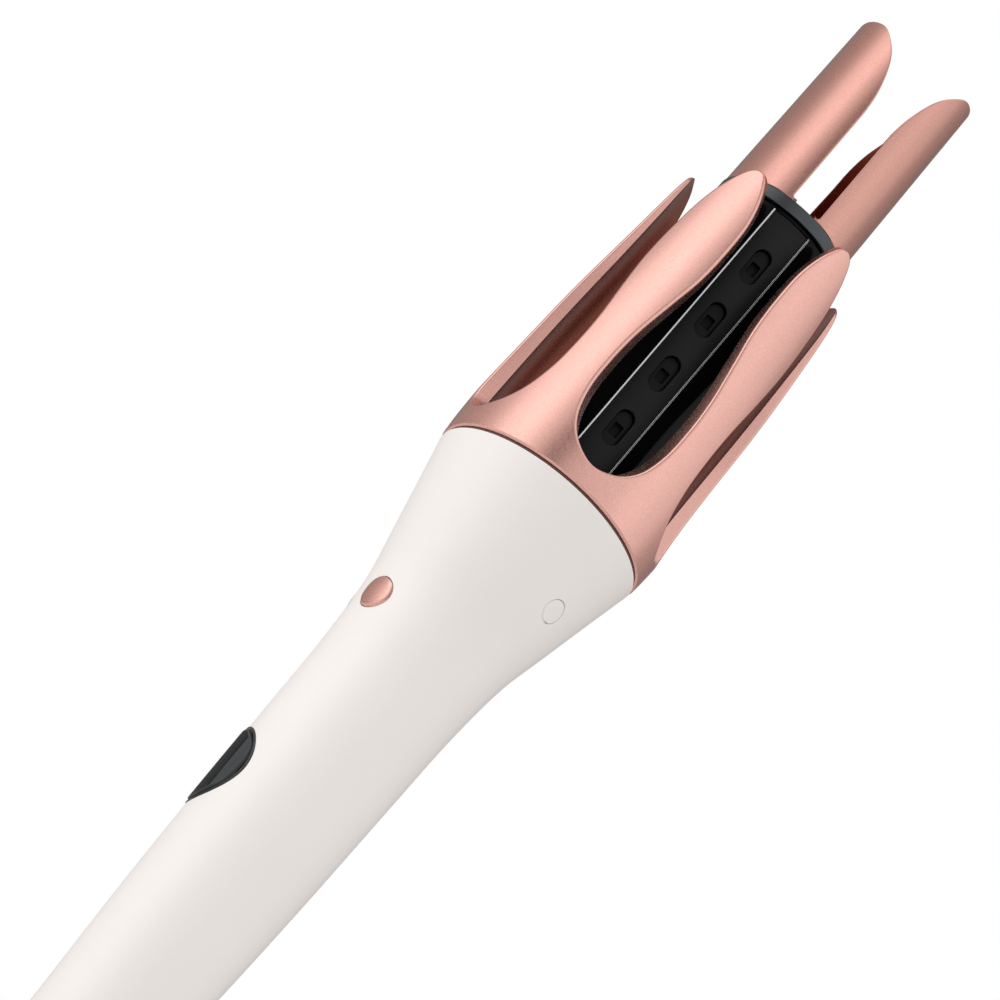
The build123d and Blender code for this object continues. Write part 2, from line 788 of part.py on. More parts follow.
# Swivel bush, free to turn in the end cap; the mains cord comes in through it.
with BuildPart() as cord_swivel:
    add(revolved([
        (CORD_RADIUS, 0.6),
        (SWIVEL_RADIUS, 0.6),
        (SWIVEL_RADIUS, 7.3),
        (8.2, 7.3),
        (8.2, 9.0),
        (CORD_RADIUS, 9.0),
    ]))
finish(cord_swivel, "cord_swivel")

with BuildPart() as swivel_retainer:
    add(revolved([
        (8.6, 7 + GAP),
        (10.6, 7 + GAP),
        (10.6, 10.4),
        (4.6, 10.4),
        (4.6, 9.4),
        (8.6, 9.4),
    ]))
finish(swivel_retainer, "swivel_retainer")


# ---------------------------------------------------------------- controls

# Each button is a cap that follows the handle's curve, with a flange inside the wall.
FLANGE_X = -9.0


def make_button(name, side):
    with BuildPart() as button:
        with BuildSketch(side_plane(FLANGE_X)):
            with Locations((side * BUTTON_OFFSET, BUTTON_Z)):
                Ellipse(3.8, 4.25)
        extrude(amount=16)
        add(handle_body(BUTTON_PROUD), mode=Mode.INTERSECT)
        with BuildSketch(side_plane(FLANGE_X)):
            with Locations((side * (BUTTON_OFFSET - 0.3), BUTTON_Z)):
                Ellipse(4.3, 5.2)
        extrude(amount=0.7)
    finish(button, name)


make_button("power_button", 1)
make_button("heat_button", -1)

# Cup that lines the rocker's opening and holds its pivot pin between two ears.
CUP_FLOOR = -9.6

with BuildPart() as rocker_cup:
    with BuildSketch(side_plane(CUP_FLOOR)):
        with Locations((0, ROCKER_Z)):
            Circle(ROCKER_CUP_RADIUS)
    extrude(amount=12)
    add(handle_body(0.25), mode=Mode.INTERSECT)
    with BuildSketch(side_plane(CUP_FLOOR - 1)):
        with Locations((0, ROCKER_Z)):
            Circle(ROCKER_RADIUS + 0.4)
    extrude(amount=12, mode=Mode.SUBTRACT)
    with BuildSketch(side_plane(CUP_FLOOR)):
        with Locations((0, ROCKER_Z + 8.0), (0, ROCKER_Z - 8.0)):
            Rectangle(4.4, 1.8)
    extrude(amount=4.2)
    with BuildSketch(side_plane(CUP_FLOOR)):
        with Locations((LEG_OFFSET, ROCKER_Z), (-LEG_OFFSET, ROCKER_Z)):
            Rectangle(3.4, 5.4)
    extrude(amount=1.5, mode=Mode.SUBTRACT)
    with BuildSketch(Plane.XY.offset(ROCKER_Z - 8.9)):
        with Locations((ROCKER_PIVOT_X, 0)):
            Circle(0.76)
    extrude(amount=17.8, mode=Mode.SUBTRACT)
finish(rocker_cup, "rocker_cup")

with BuildPart() as rocker_pin:
    with BuildSketch(Plane.XY.offset(ROCKER_Z - 8.8)):
        with Locations((ROCKER_PIVOT_X, 0)):
            Circle(0.75)
    extrude(amount=17.6)
finish(rocker_pin, "rocker_pin")

# Round rocker: a raised middle band, a sloping finger pad on each side, and two legs below.
BAND_HALF = 6.5

with BuildPart() as direction_rocker:
    with BuildSketch(side_plane(ROCKER_PIVOT_X - 1.6)):
        with Locations((0, ROCKER_Z)):
            Circle(ROCKER_RADIUS)
    extrude(amount=8)
    add(handle_body(ROCKER_PROUD), mode=Mode.INTERSECT)
    for side in (-1, 1):
        with BuildSketch(Plane.XY.offset(ROCKER_Z - 12)):
            with BuildLine():
                Polyline(
                    (-16.9, side * BAND_HALF),
                    (-16.35, side * BAND_HALF),
                    (-14.55, side * 10.2),
                    (-19.0, side * 10.2),
                    close=True,
                )
            make_face()
        extrude(amount=24, mode=Mode.SUBTRACT)
    with BuildSketch(Plane.XY.offset(ROCKER_Z - 6.6)):
        with Locations((ROCKER_PIVOT_X, 0)):
            Circle(1.5)
    extrude(amount=13.2)
    with BuildSketch(side_plane(-8.9)):
        with Locations((LEG_OFFSET, ROCKER_Z), (-LEG_OFFSET, ROCKER_Z)):
            Rectangle(1.8, 3.6)
    extrude(amount=5.4)
    with BuildSketch(Plane.XY.offset(ROCKER_Z - 8)):
        with Locations((ROCKER_PIVOT_X, 0)):
            Circle(0.75 + RUNNING)
    extrude(amount=16, mode=Mode.SUBTRACT)
finish(direction_rocker, "direction_rocker")


# ---------------------------------------------------------------- frame and electronics

FRAME_FACE = -3.6               # the frame plate lies between this and FRAME_BACK
FRAME_BACK = -2.4
FRAME_LOW = SEAM - 165
POWER_FACE = 2.0

# Long plate inside the handle that carries both boards and hangs from the gear case.
with BuildPart() as inner_frame:
    with Locations(((FRAME_FACE + FRAME_BACK) / 2, 0, FRAME_LOW)):
        Box(
            FRAME_BACK - FRAME_FACE,
            19,
            CASE_FLOOR - 2 - GAP - FRAME_LOW,
            align=(Align.CENTER, Align.CENTER, Align.MIN),
        )
    with BuildSketch(Plane.XY.offset(CASE_FLOOR - 2 - GAP)):
        Circle(17.5)
        with Locations((FRAME_BACK, 0)):
            Rectangle(40, 40, align=(Align.MAX, Align.CENTER), mode=Mode.INTERSECT)
    extrude(amount=-2.5)
    with BuildSketch(Plane.XY.offset(SEAM - 60)):
        Circle(15.3)
        with Locations((FRAME_FACE, 0)):
            Rectangle(40, 40, align=(Align.MIN, Align.CENTER), mode=Mode.INTERSECT)
        with Locations((5, 0)):
            Circle(3.5, mode=Mode.SUBTRACT)
    extrude(amount=2)
    with BuildSketch(Plane.XY.offset(FRAME_LOW)):
        Circle(12.0)
        with Locations((5, 0)):
            Circle(3.5, mode=Mode.SUBTRACT)
    extrude(amount=2)
    with BuildSketch(side_plane(FRAME_FACE)):
        with Locations(*[(side * 7.5, SEAM - low) for side in (-1, 1) for low in (52, 70, 108)]):
            Circle(1.6)
    extrude(amount=BOARD_FACE + BOARD_THICK - FRAME_FACE, dir=(1, 0, 0))
    with BuildSketch(side_plane(FRAME_BACK)):
        with Locations(*[(side * 7.5, SEAM - low) for side in (-1, 1) for low in (70, 150)]):
            Circle(1.6)
    extrude(amount=POWER_FACE - GAP - FRAME_BACK, dir=(1, 0, 0))
    with BuildSketch(Plane.XY.offset(CASE_FLOOR - 2)):
        with Locations(*FRAME_SCREWS):
            Circle(0.98)
    extrude(amount=-4, mode=Mode.SUBTRACT)
    with BuildSketch(Plane.XY.offset(CASE_FLOOR - 2)):
        Circle(4.2)
    extrude(amount=-3, mode=Mode.SUBTRACT)
finish(inner_frame, "inner_frame")

with BuildPart() as frame_screws:
    with BuildSketch(Plane.XY.offset(CASE_FLOOR - 4.4)):
        with Locations(*FRAME_SCREWS):
            Circle(0.95)
    extrude(amount=4.4 + GAP)
    with BuildSketch(Plane.XY.offset(CASE_FLOOR + GAP)):
        with Locations(*FRAME_SCREWS):
            Circle(1.8)
    extrude(amount=1.2)
finish(frame_screws, "frame_screws")

# Control board under the buttons and the rocker.
CONTROL_LOW = SEAM - 112

with BuildPart() as control_board:
    with Locations((BOARD_FACE, 0, CONTROL_LOW)):
        Box(BOARD_THICK, 20, 76, align=(Align.MIN, Align.CENTER, Align.MIN))
finish(control_board, "control_board")

SWITCH_PLACES = (
    (BUTTON_OFFSET - 0.5, BUTTON_Z),
    (0.5 - BUTTON_OFFSET, BUTTON_Z),
    (LEG_OFFSET, ROCKER_Z),
    (-LEG_OFFSET, ROCKER_Z),
)

# Four tact switches: one for each button and one for each side of the rocker.
with BuildPart() as tact_switches:
    with BuildSketch(side_plane(BOARD_FACE - GAP)):
        with Locations(*SWITCH_PLACES):
            Rectangle(2.6, 4.2)
    extrude(amount=SWITCH_BODY)
    with BuildSketch(side_plane(BOARD_FACE - GAP - SWITCH_BODY)):
        with Locations(*SWITCH_PLACES):
            Circle(0.9)
    extrude(amount=SWITCH_PLUNGER)
finish(tact_switches, "tact_switches")

# Power board with its capacitor, switching block and fuse.
POWER_LOW = SEAM - 160

with BuildPart() as power_board:
    with Locations((POWER_FACE, 0, POWER_LOW)):
        Box(1.6, 19, 96, align=(Align.MIN, Align.CENTER, Align.MIN))
finish(power_board, "power_board")

COMPONENT_FACE = POWER_FACE + 1.6 + GAP

with BuildPart() as smoothing_capacitor:
    with Locations((COMPONENT_FACE + 4, 3.5, SEAM - 95)):
        Cylinder(4, 16, align=(Align.CENTER, Align.CENTER, Align.MIN))
finish(smoothing_capacitor, "smoothing_capacitor")

with BuildPart() as supply_block:
    with Locations((COMPONENT_FACE, 0, SEAM - 128)):
        Box(7, 14, 18, align=(Align.MIN, Align.CENTER, Align.MIN))
    fillet(supply_block.edges().filter_by(Axis.X), 1.0)
finish(supply_block, "supply_block")

with BuildPart() as mains_fuse:
    with Locations((COMPONENT_FACE + 2.6, -4, SEAM - 155)):
        Cylinder(2.6, 15, align=(Align.CENTER, Align.CENTER, Align.MIN))
finish(mains_fuse, "mains_fuse")
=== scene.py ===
import json
import math

import bmesh
import bpy
import numpy as np
from mathutils import Matrix, Vector
from mathutils.geometry import delaunay_2d_cdt


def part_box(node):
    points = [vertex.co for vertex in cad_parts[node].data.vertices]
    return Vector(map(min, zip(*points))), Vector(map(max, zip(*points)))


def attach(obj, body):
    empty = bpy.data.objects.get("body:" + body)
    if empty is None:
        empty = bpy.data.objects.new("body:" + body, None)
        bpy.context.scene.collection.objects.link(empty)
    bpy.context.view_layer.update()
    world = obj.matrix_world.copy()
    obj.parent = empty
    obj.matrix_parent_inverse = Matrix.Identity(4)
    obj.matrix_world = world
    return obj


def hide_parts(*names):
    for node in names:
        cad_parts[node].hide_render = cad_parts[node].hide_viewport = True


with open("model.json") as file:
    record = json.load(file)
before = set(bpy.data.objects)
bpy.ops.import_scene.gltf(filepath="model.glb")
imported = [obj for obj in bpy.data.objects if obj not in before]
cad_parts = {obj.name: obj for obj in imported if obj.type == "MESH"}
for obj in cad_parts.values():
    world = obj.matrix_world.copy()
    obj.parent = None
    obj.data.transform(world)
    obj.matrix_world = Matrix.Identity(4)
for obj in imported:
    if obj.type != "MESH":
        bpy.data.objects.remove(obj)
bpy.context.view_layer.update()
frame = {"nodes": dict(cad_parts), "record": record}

# Lengths are in millimetres and turned into metres where a mesh is finished.
# Heights are counted from the seam between handle and petal shell.
# Azimuths are counted from the front (-Y) towards the right side (+X).
MM = 0.001
SEAM_GAP = 0.3
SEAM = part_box("handle_shell")[1].z / MM + SEAM_GAP
HANDLE_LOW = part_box("handle_shell")[0].z / MM - SEAM
PRONG_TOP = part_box("prong_right")[1].z / MM - SEAM

# Petal shell. The middles of its side and back openings are in degrees.
SIDE_OPENING = 72
BACK_OPENING = 150
PETAL_TIP = 90.5
SIDE_PETAL_TIP = 89.5
# A petal's inner edge is set back by PETAL_SLANT degrees. REACH is the radius at which widths
# along a turned face are measured.
PETAL_REACH = 25.0
PETAL_SLANT = 1.6
CHAMBER_FLOOR = 5.0
SKIRT_BORE = 25.2

# Barrel and prongs.
BARREL_RADIUS = 16.0
BARREL_BORE = 14.3
BARREL_LOW = 5.2
BARREL_TOP = 88.6
COLLAR_TOP = 91.7
COLLAR_RADIUS = 17.0
COLLAR_BORE = 14.45
COLLAR_SEAT = 89.4
# The slot between the prongs, half its width, and how far one edge of each prong stands off.
SLOT_HALF = 3.95
PRONG_FOOT_HALF = 2.9
SLOT_FLARE = 0.9
FLARE_HEIGHTS = (94, 116)
WINDOW_LOW = 9.0
WINDOW_HIGH = 87.7
STRIP_HALF = 4.95
STRIP_RADIUS = 15.75
STRIP_BACK = 13.6
VENT_FLOOR = 14.55
VENT_COUNT = 4
VENT_FIRST = 22.1
VENT_PITCH = 17.15
VENT_SIZE = (4.3, 9.8)
TRIM_WIDTH = 0.45
TRIM_BACK = 13.85
TRIM_TOP = 15.35
TRIM_LOWER_TOP = 15.2
FIT = 0.05

# Handle and controls.
HANDLE_WALL = 2.0
BUTTON_HEIGHT = -42.8
BUTTON_OFFSET = 8.9
BUTTON_HOLE = (4.05, 4.5)
BUTTON_SIZE = (3.8, 4.25)
FLANGE_SIZE = (4.3, 5.2)
FLANGE_OFFSET = 8.6
ROCKER_HEIGHT = -93.7
ROCKER_RADIUS = 10.0
ROCKER_EDGE = 0.4
ROCKER_HOLE = 11.1
BAND_HALF = 6.5
# Fine ridges along the band's edges: height and half width are both RIDGE_SIZE.
RIDGE_OFFSET = 6.25
RIDGE_SIZE = 0.25
SCREW_HEIGHT = -21.2
SCREW_AZIMUTHS = (43, 137)
SCREW_HOLE = 3.02
CAP_RADIUS = 2.9

# Outlines as (radius, height).
HANDLE_PROFILE = [
    (13.2, HANDLE_LOW), (13.9, -181), (14.7, -161), (16.2, -129), (17.0, -103), (17.5, -76),
    (18.0, -54), (19.4, -37), (21.9, -25), (24.6, -12.5), (27.3, -SEAM_GAP),
]
SHELL_PROFILE = [
    (27.5, 0.3), (27.85, 5), (28.05, 14), (27.5, 32), (26.7, 47), (25.55, 61.6), (24.45, 76),
    (23.45, 91),
]
SHELL_INNER = [(24.2, CHAMBER_FLOOR), (24.0, 35), (23.1, 62), (22.3, 91)]

# One side of an opening between two petals, as (degrees from its middle, height).
OPENING_SIDE = [
    (0.0, 6.3), (11.5, 8.4), (19.5, 12.8), (24.2, 20), (25.5, 29), (24.7, 38), (21.5, 48.5),
    (18.6, 58), (18.0, 67), (19.3, 76.5), (22.8, 82.8), (27.0, 87.0), (31.2, 89.6),
    (36.0, PETAL_TIP),
]
BACK_OPENING_SIDE = [
    (0.0, 6.3), (8.5, 8.2), (13.5, 12.8), (16.0, 20), (16.5, 29), (16.0, 38), (15.0, 48.5),
    (14.5, 58), (15.0, 67), (17.5, 74.5), (21.5, 80.5), (27.0, 85.5), (34.0, 88.5),
    (42.0, SIDE_PETAL_TIP),
]

# The slot side of a prong seen from the front, as (distance from the middle, height).
PRONG_SHOULDER = [
    (SLOT_HALF, 121.5), (4.75, 127.9), (7.1, 135.6), (9.8, 140.0), (12.9, 143.4),
    (16.1, PRONG_TOP),
]


# ---------------------------------------------------------------- curves and turned surfaces

def smooth_curve(points, step, before=None, after=None):
    """Points about step apart on a smooth curve through the given points."""
    path = [np.array(p, float) for p in points]
    first = np.array(before, float) if before else 2 * path[0] - path[1]
    last = np.array(after, float) if after else 2 * path[-1] - path[-2]
    ends = [first] + path + [last]
    dense = []
    for i in range(1, len(ends) - 2):
        a, b, c, d = ends[i - 1 : i + 3]
        pace = [
            max(math.sqrt(np.linalg.norm(q - p)), 1e-6)
            for p, q in ((a, b), (b, c), (c, d))
        ]
        out = (b - a) / pace[0] - (c - a) / (pace[0] + pace[1]) + (c - b) / pace[1]
        into = (c - b) / pace[1] - (d - b) / (pace[1] + pace[2]) + (d - c) / pace[2]
        for s in np.linspace(0, 1, 24, endpoint=False):
            dense.append(
                (2 * s**3 - 3 * s**2 + 1) * b
                + (s**3 - 2 * s**2 + s) * out * pace[1]
                + (-2 * s**3 + 3 * s**2) * c
                + (s**3 - s**2) * into * pace[1]
            )
    dense.append(path[-1])
    return resampled(dense, step)


def resampled(points, step=1.0, count=0):
    """The same line with its points evenly about step apart, or with count points."""
    line = np.array(points, float)
    lengths = np.concatenate([[0], np.cumsum(np.linalg.norm(np.diff(line, axis=0), axis=1))])
    count = count or max(2, round(lengths[-1] / step) + 1)
    at = np.linspace(0, lengths[-1], count)
    return [tuple(float(np.interp(s, lengths, line[:, k])) for k in (0, 1)) for s in at]


class Turned:
    """A face turned about Z through (radius, height) points; side is 1 outside and -1 inside."""

    def __init__(self, profile, side=1, curved=True):
        line = smooth_curve(profile, 0.5) if curved else resampled(profile, 0.25)
        self.radii = np.array([p[0] for p in line])
        self.heights = np.array([p[1] for p in line])
        self.slopes = np.gradient(self.radii, self.heights)
        self.side = side

    def radius(self, height):
        return float(np.interp(height, self.heights, self.radii))

    def place(self, angle, height):
        radius = self.radius(height)
        return Vector((radius * math.sin(angle), -radius * math.cos(angle), height))

    def normal(self, angle, height):
        slope = float(np.interp(height, self.heights, self.slopes))
        return self.side * Vector((math.sin(angle), -math.cos(angle), -slope)).normalized()


# ---------------------------------------------------------------- mesh building

def new_mesh():
    bm = bmesh.new()
    bm.verts.layers.float_vector.new("shade")
    return bm


def vertex(bm, place, shade=(0, 0, 0)):
    """Adds a vertex; shade is the normal it is lit with, or zero for the usual one."""
    made = bm.verts.new(place)
    made[bm.verts.layers.float_vector["shade"]] = shade
    return made


def bridge(bm, row, other, closed):
    """Faces between two rows of the same number of vertices."""
    count = len(row)
    for i in range(count if closed else count - 1):
        j = (i + 1) % count
        bm.faces.new((row[i], row[j], other[j], other[i]))


def fan(bm, row, point):
    """Closes a row with triangles to a point."""
    middle = vertex(bm, point)
    for i in range(len(row)):
        bm.faces.new((row[i], row[(i + 1) % len(row)], middle))


def stack(bm, rows, start, end):
    """Joins closed rows of points in order, and closes both ends with a fan to a point."""
    made = [
        [vertex(bm, *p) if isinstance(p, tuple) else vertex(bm, p) for p in row]
        for row in rows
    ]
    for row, other in zip(made, made[1:]):
        bridge(bm, row, other, True)
    fan(bm, made[0], start)
    fan(bm, made[-1], end)


def within(points, loops):
    """Whether each point is inside the loops, by the even-odd rule."""
    x, y = points[:, 0], points[:, 1]
    odd = np.zeros(len(points), bool)
    for loop in loops:
        line = np.array(loop)
        for (ax, ay), (bx, by) in zip(line, np.roll(line, -1, axis=0)):
            if ay != by:
                crosses = ((ay > y) != (by > y)) & (x < (bx - ax) * (y - ay) / (by - ay) + ax)
                odd ^= crosses
    return odd


def fill(bm, surface, reach, loops, rows, spacing):
    """Covers the region inside the loops with triangles on a turned face.
    A width divided by reach is an angle."""
    flat = [p for loop in loops for p in loop]
    known = [v for row in rows for v in row]
    edges = []
    start = 0
    for loop in loops:
        edges += [(start + i, start + (i + 1) % len(loop)) for i in range(len(loop))]
        start += len(loop)
    edge_points = np.array(flat)
    low, high = edge_points.min(axis=0), edge_points.max(axis=0)
    across, up = (
        np.linspace(low[k], high[k], max(2, round((high[k] - low[k]) / spacing[k])) + 1)
        for k in (0, 1)
    )
    grid = np.array([(x, y) for y in up[1:-1] for x in across[1:-1]])
    grid = grid[within(grid, loops)]
    gaps = (grid[:, None, :] - edge_points[None, :, :]) / np.array(spacing)
    grid = grid[(gaps**2).sum(axis=2).min(axis=1) > 0.3]
    points = [Vector(p) for p in flat] + [Vector(p) for p in grid]
    made = delaunay_2d_cdt(points, edges, [], 0, 1e-7, True)
    verts = []
    for place, sources in zip(made[0], made[3]):
        if sources and sources[0] < len(known):
            verts.append(known[sources[0]])
        else:
            angle = place[0] / reach
            shade = surface.normal(angle, place[1])
            verts.append(vertex(bm, surface.place(angle, place[1]), shade))
    middles = np.array([
        [sum(made[0][i][k] for i in face) / 3 for k in (0, 1)] for face in made[2]
    ])
    for face, keep in zip(made[2], within(middles, loops)):
        if keep:
            bm.faces.new([verts[i] for i in face])


def lefts(points, closed, end_normal):
    """Unit vectors to the left of a line at each of its points."""
    line = np.array(points, float)
    if closed:
        along = np.roll(line, -1, axis=0) - np.roll(line, 1, axis=0)
    else:
        along = np.gradient(line, axis=0)
    found = np.stack([-along[:, 1], along[:, 0]], axis=1)
    found /= np.linalg.norm(found, axis=1)[:, None]
    if not closed and end_normal:
        found[0] = found[-1] = end_normal
    return found


def rim(bm, outer, inner, reach, chain, lip, closed=True, end_normal=None, steps=4):
    """The rounded edge of a shell between its two faces. The material lies left of the chain.
    chain holds the edge as (width, height) on the outer face and on the inner face.
    Returns the flat points and vertices of the two rows where the faces begin."""
    points, under = chain
    rows = [[] for _ in range(2 * steps)]
    sets = zip(points, under, lefts(points, closed, end_normal), lefts(under, closed, end_normal))
    flats = ([], [])
    for p, q, left, under_left in sets:
        p_in = (p[0] + lip[0] * left[0], p[1] + lip[0] * left[1])
        q_in = (q[0] + lip[1] * under_left[0], q[1] + lip[1] * under_left[1])
        flats[0].append(p_in)
        flats[1].append(q_in)
        top, low = outer.place(p[0] / reach, p[1]), inner.place(q[0] / reach, q[1])
        through = (low - top).normalized()
        for side, face, edge, start, depth in (
            (0, outer, top, p_in, lip[0]),
            (1, inner, low, q_in, -lip[1]),
        ):
            begin = face.place(start[0] / reach, start[1])
            out = edge - begin
            straight = face.normal(start[0] / reach, start[1])
            for step in range(steps):
                turn = math.pi / 2 * step / (steps - 1)
                place = begin + out * math.sin(turn) + through * depth * (1 - math.cos(turn))
                shade = straight * math.cos(turn) + out.normalized() * math.sin(turn)
                row = step if side == 0 else 2 * steps - 1 - step
                rows[row].append(vertex(bm, place, shade))
    for row, other in zip(rows, rows[1:]):
        bridge(bm, row, other, closed)
    return flats, (rows[0], rows[-1])


def wall(bm, outer, inner, reach, foot, brim, holes, lips, spacing):
    """A stretch of a turned shell between a rounded foot and brim, with rounded holes through it.
    foot runs to the right, and brim, given for both faces, back to the left."""
    foot_flat, foot_rows = rim(bm, outer, inner, reach, (foot, foot), lips[0], False, (0, 1))
    brim_flat, brim_rows = rim(bm, outer, inner, reach, brim, lips[0], False, (0, -1))
    edges = [rim(bm, outer, inner, reach, chain, lips[1]) for chain in holes]
    for which, face in ((0, outer), (1, inner)):
        low, high = foot_flat[which][-1], brim_flat[which][0]
        count = max(3, round((high[1] - low[1]) / spacing[1]) + 1)
        heights = np.linspace(low[1], high[1], count)[1:-1]
        right = [(low[0], h) for h in heights]
        left = [(foot_flat[which][0][0], h) for h in reversed(heights)]
        seams = [
            [vertex(bm, face.place(x / reach, h), face.normal(x / reach, h)) for x, h in line]
            for line in (right, left)
        ]
        loops = [foot_flat[which] + right + brim_flat[which] + left]
        rows = [foot_rows[which] + seams[0] + brim_rows[which] + seams[1]]
        for flat, made in edges:
            loops.append(flat[which])
            rows.append(made[which])
        fill(bm, face, reach, loops, rows, spacing)


def panel(bm, outer, inner, reach, chain, lip, spacing):
    """A closed piece of a turned shell with a rounded edge all round."""
    flats, rows = rim(bm, outer, inner, reach, chain, lip)
    for face, flat, row in zip((outer, inner), flats, rows):
        fill(bm, face, reach, [flat], [row], spacing)


def block(low, high, radius):
    """Corners of an upright rectangle in anticlockwise order, all with one rounding."""
    return [(x, y, radius) for x, y in (low, (high[0], low[1]), high, (low[0], high[1]))]


def post(bm, low, high, radius, heights, steps=3):
    """Upright block with rounded edges, with a row of points at each height."""
    outline = rounded(block(low, high, radius), steps)
    rows = [[(Vector((*p, h)), (*n, 0)) for p, n in outline] for h in heights]
    middle = ((low[0] + high[0]) / 2, (low[1] + high[1]) / 2)
    stack(bm, rows, Vector((*middle, heights[0])), Vector((*middle, heights[-1])))


def turn_part(bm, turn):
    """Turns a part and its shading about Z."""
    shade = bm.verts.layers.float_vector["shade"]
    bm.transform(Matrix.Rotation(turn, 4, "Z"))
    for v in bm.verts:
        v[shade] = Matrix.Rotation(turn, 3, "Z") @ v[shade]


def repeat(bm, part, count):
    """Copies a part into the mesh count times round the axis, and frees it."""
    shade = part.verts.layers.float_vector["shade"]
    target = bm.verts.layers.float_vector["shade"]
    for turn in range(count):
        spin = Matrix.Rotation(turn * 2 * math.pi / count, 4, "Z")
        copies = {}
        for v in part.verts:
            copies[v] = bm.verts.new(spin @ v.co)
            copies[v][target] = spin @ v[shade]
        for face in part.faces:
            made = bm.faces.new([copies[v] for v in face.verts])
            made.material_index = face.material_index
    part.free()


def rounded(corners, steps=4):
    """Closed outline with rounded corners, from (x, y, radius), as points with their normals."""
    made = []
    count = len(corners)
    for i, (x, y, radius) in enumerate(corners):
        here = np.array((x, y), float)
        before = np.array(corners[i - 1][:2], float)
        after = np.array(corners[(i + 1) % count][:2], float)
        into = (here - before) / np.linalg.norm(here - before)
        out = (after - here) / np.linalg.norm(after - here)
        turn = math.atan2(into[0] * out[1] - into[1] * out[0], into @ out)
        back = radius * abs(math.tan(turn / 2))
        side = np.array((-into[1], into[0])) * math.copysign(1, turn)
        centre = here - into * back + side * radius
        for step in range(steps):
            bend = turn * step / (steps - 1)
            arm = -side
            c, s = math.cos(bend), math.sin(bend)
            arm = np.array((arm[0] * c - arm[1] * s, arm[0] * s + arm[1] * c))
            outward = arm * math.copysign(1, turn)
            made.append((tuple(centre + arm * radius), tuple(outward)))
    return made


def lathe(bm, corners, segments=128, start=0.0, sweep=2 * math.pi):
    """Turns a closed outline of (radius, height, corner radius), drawn anticlockwise, about Z."""
    outline = rounded(corners)
    whole = sweep > 2 * math.pi - 1e-6
    rows = []
    for i in range(segments if whole else segments + 1):
        angle = start + sweep * i / segments
        s, c = math.sin(angle), -math.cos(angle)
        rows.append([
            vertex(bm, (r * s, r * c, h), (nr * s, nr * c, nh))
            for (r, h), (nr, nh) in outline
        ])
    for row, other in zip(rows, rows[1:]):
        bridge(bm, row, other, True)
    if whole:
        bridge(bm, rows[-1], rows[0], True)
    else:
        for row in (rows[0], rows[-1]):
            face = bm.faces.new(row)
            for v in face.verts:
                v[bm.verts.layers.float_vector["shade"]] = (0, 0, 0)


def settle(name, bm, body, slot, replaces, material=None, sharp=38):
    """Finishes a piece: merges its seams, sets its shading, and puts it on its body.
    It gets its slot's material unless another one is given."""
    bmesh.ops.remove_doubles(bm, verts=bm.verts, dist=1e-4)
    bmesh.ops.recalc_face_normals(bm, faces=bm.faces)
    bm.transform(Matrix.Scale(MM, 4) @ Matrix.Translation((0, 0, SEAM)))
    mesh = bpy.data.meshes.new(name)
    bm.to_mesh(mesh)
    bm.free()
    mesh.polygons.foreach_set("use_smooth", [True] * len(mesh.polygons))
    mesh.set_sharp_from_angle(angle=math.radians(sharp))
    shades = np.zeros(len(mesh.vertices) * 3, np.float32)
    mesh.attributes["shade"].data.foreach_get("vector", shades)
    shades = shades.reshape(-1, 3)
    if np.abs(shades).max() > 0:
        corners = np.zeros(len(mesh.loops), np.int32)
        mesh.loops.foreach_get("vertex_index", corners)
        usual = np.array([n.vector for n in mesh.corner_normals], np.float32)
        chosen = shades[corners]
        blank = np.linalg.norm(chosen, axis=1) < 0.5
        chosen[blank] = usual[blank]
        mesh.normals_split_custom_set(chosen.tolist())
    mesh.attributes.remove(mesh.attributes["shade"])
    piece = bpy.data.objects.new(name, mesh)
    bpy.context.scene.collection.objects.link(piece)
    mesh.materials.append(material or MATERIALS[slot])
    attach(piece, body)
    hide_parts(*replaces)
    return piece


# ---------------------------------------------------------------- materials

def add_node(tree, kind, values=(), **settings):
    """A new shader node with its settings, and with values for its inputs by name or number."""
    node = tree.nodes.new("ShaderNode" + kind)
    for key, value in settings.items():
        setattr(node, key, value)
    for key, value in values:
        node.inputs[key].default_value = value
    return node


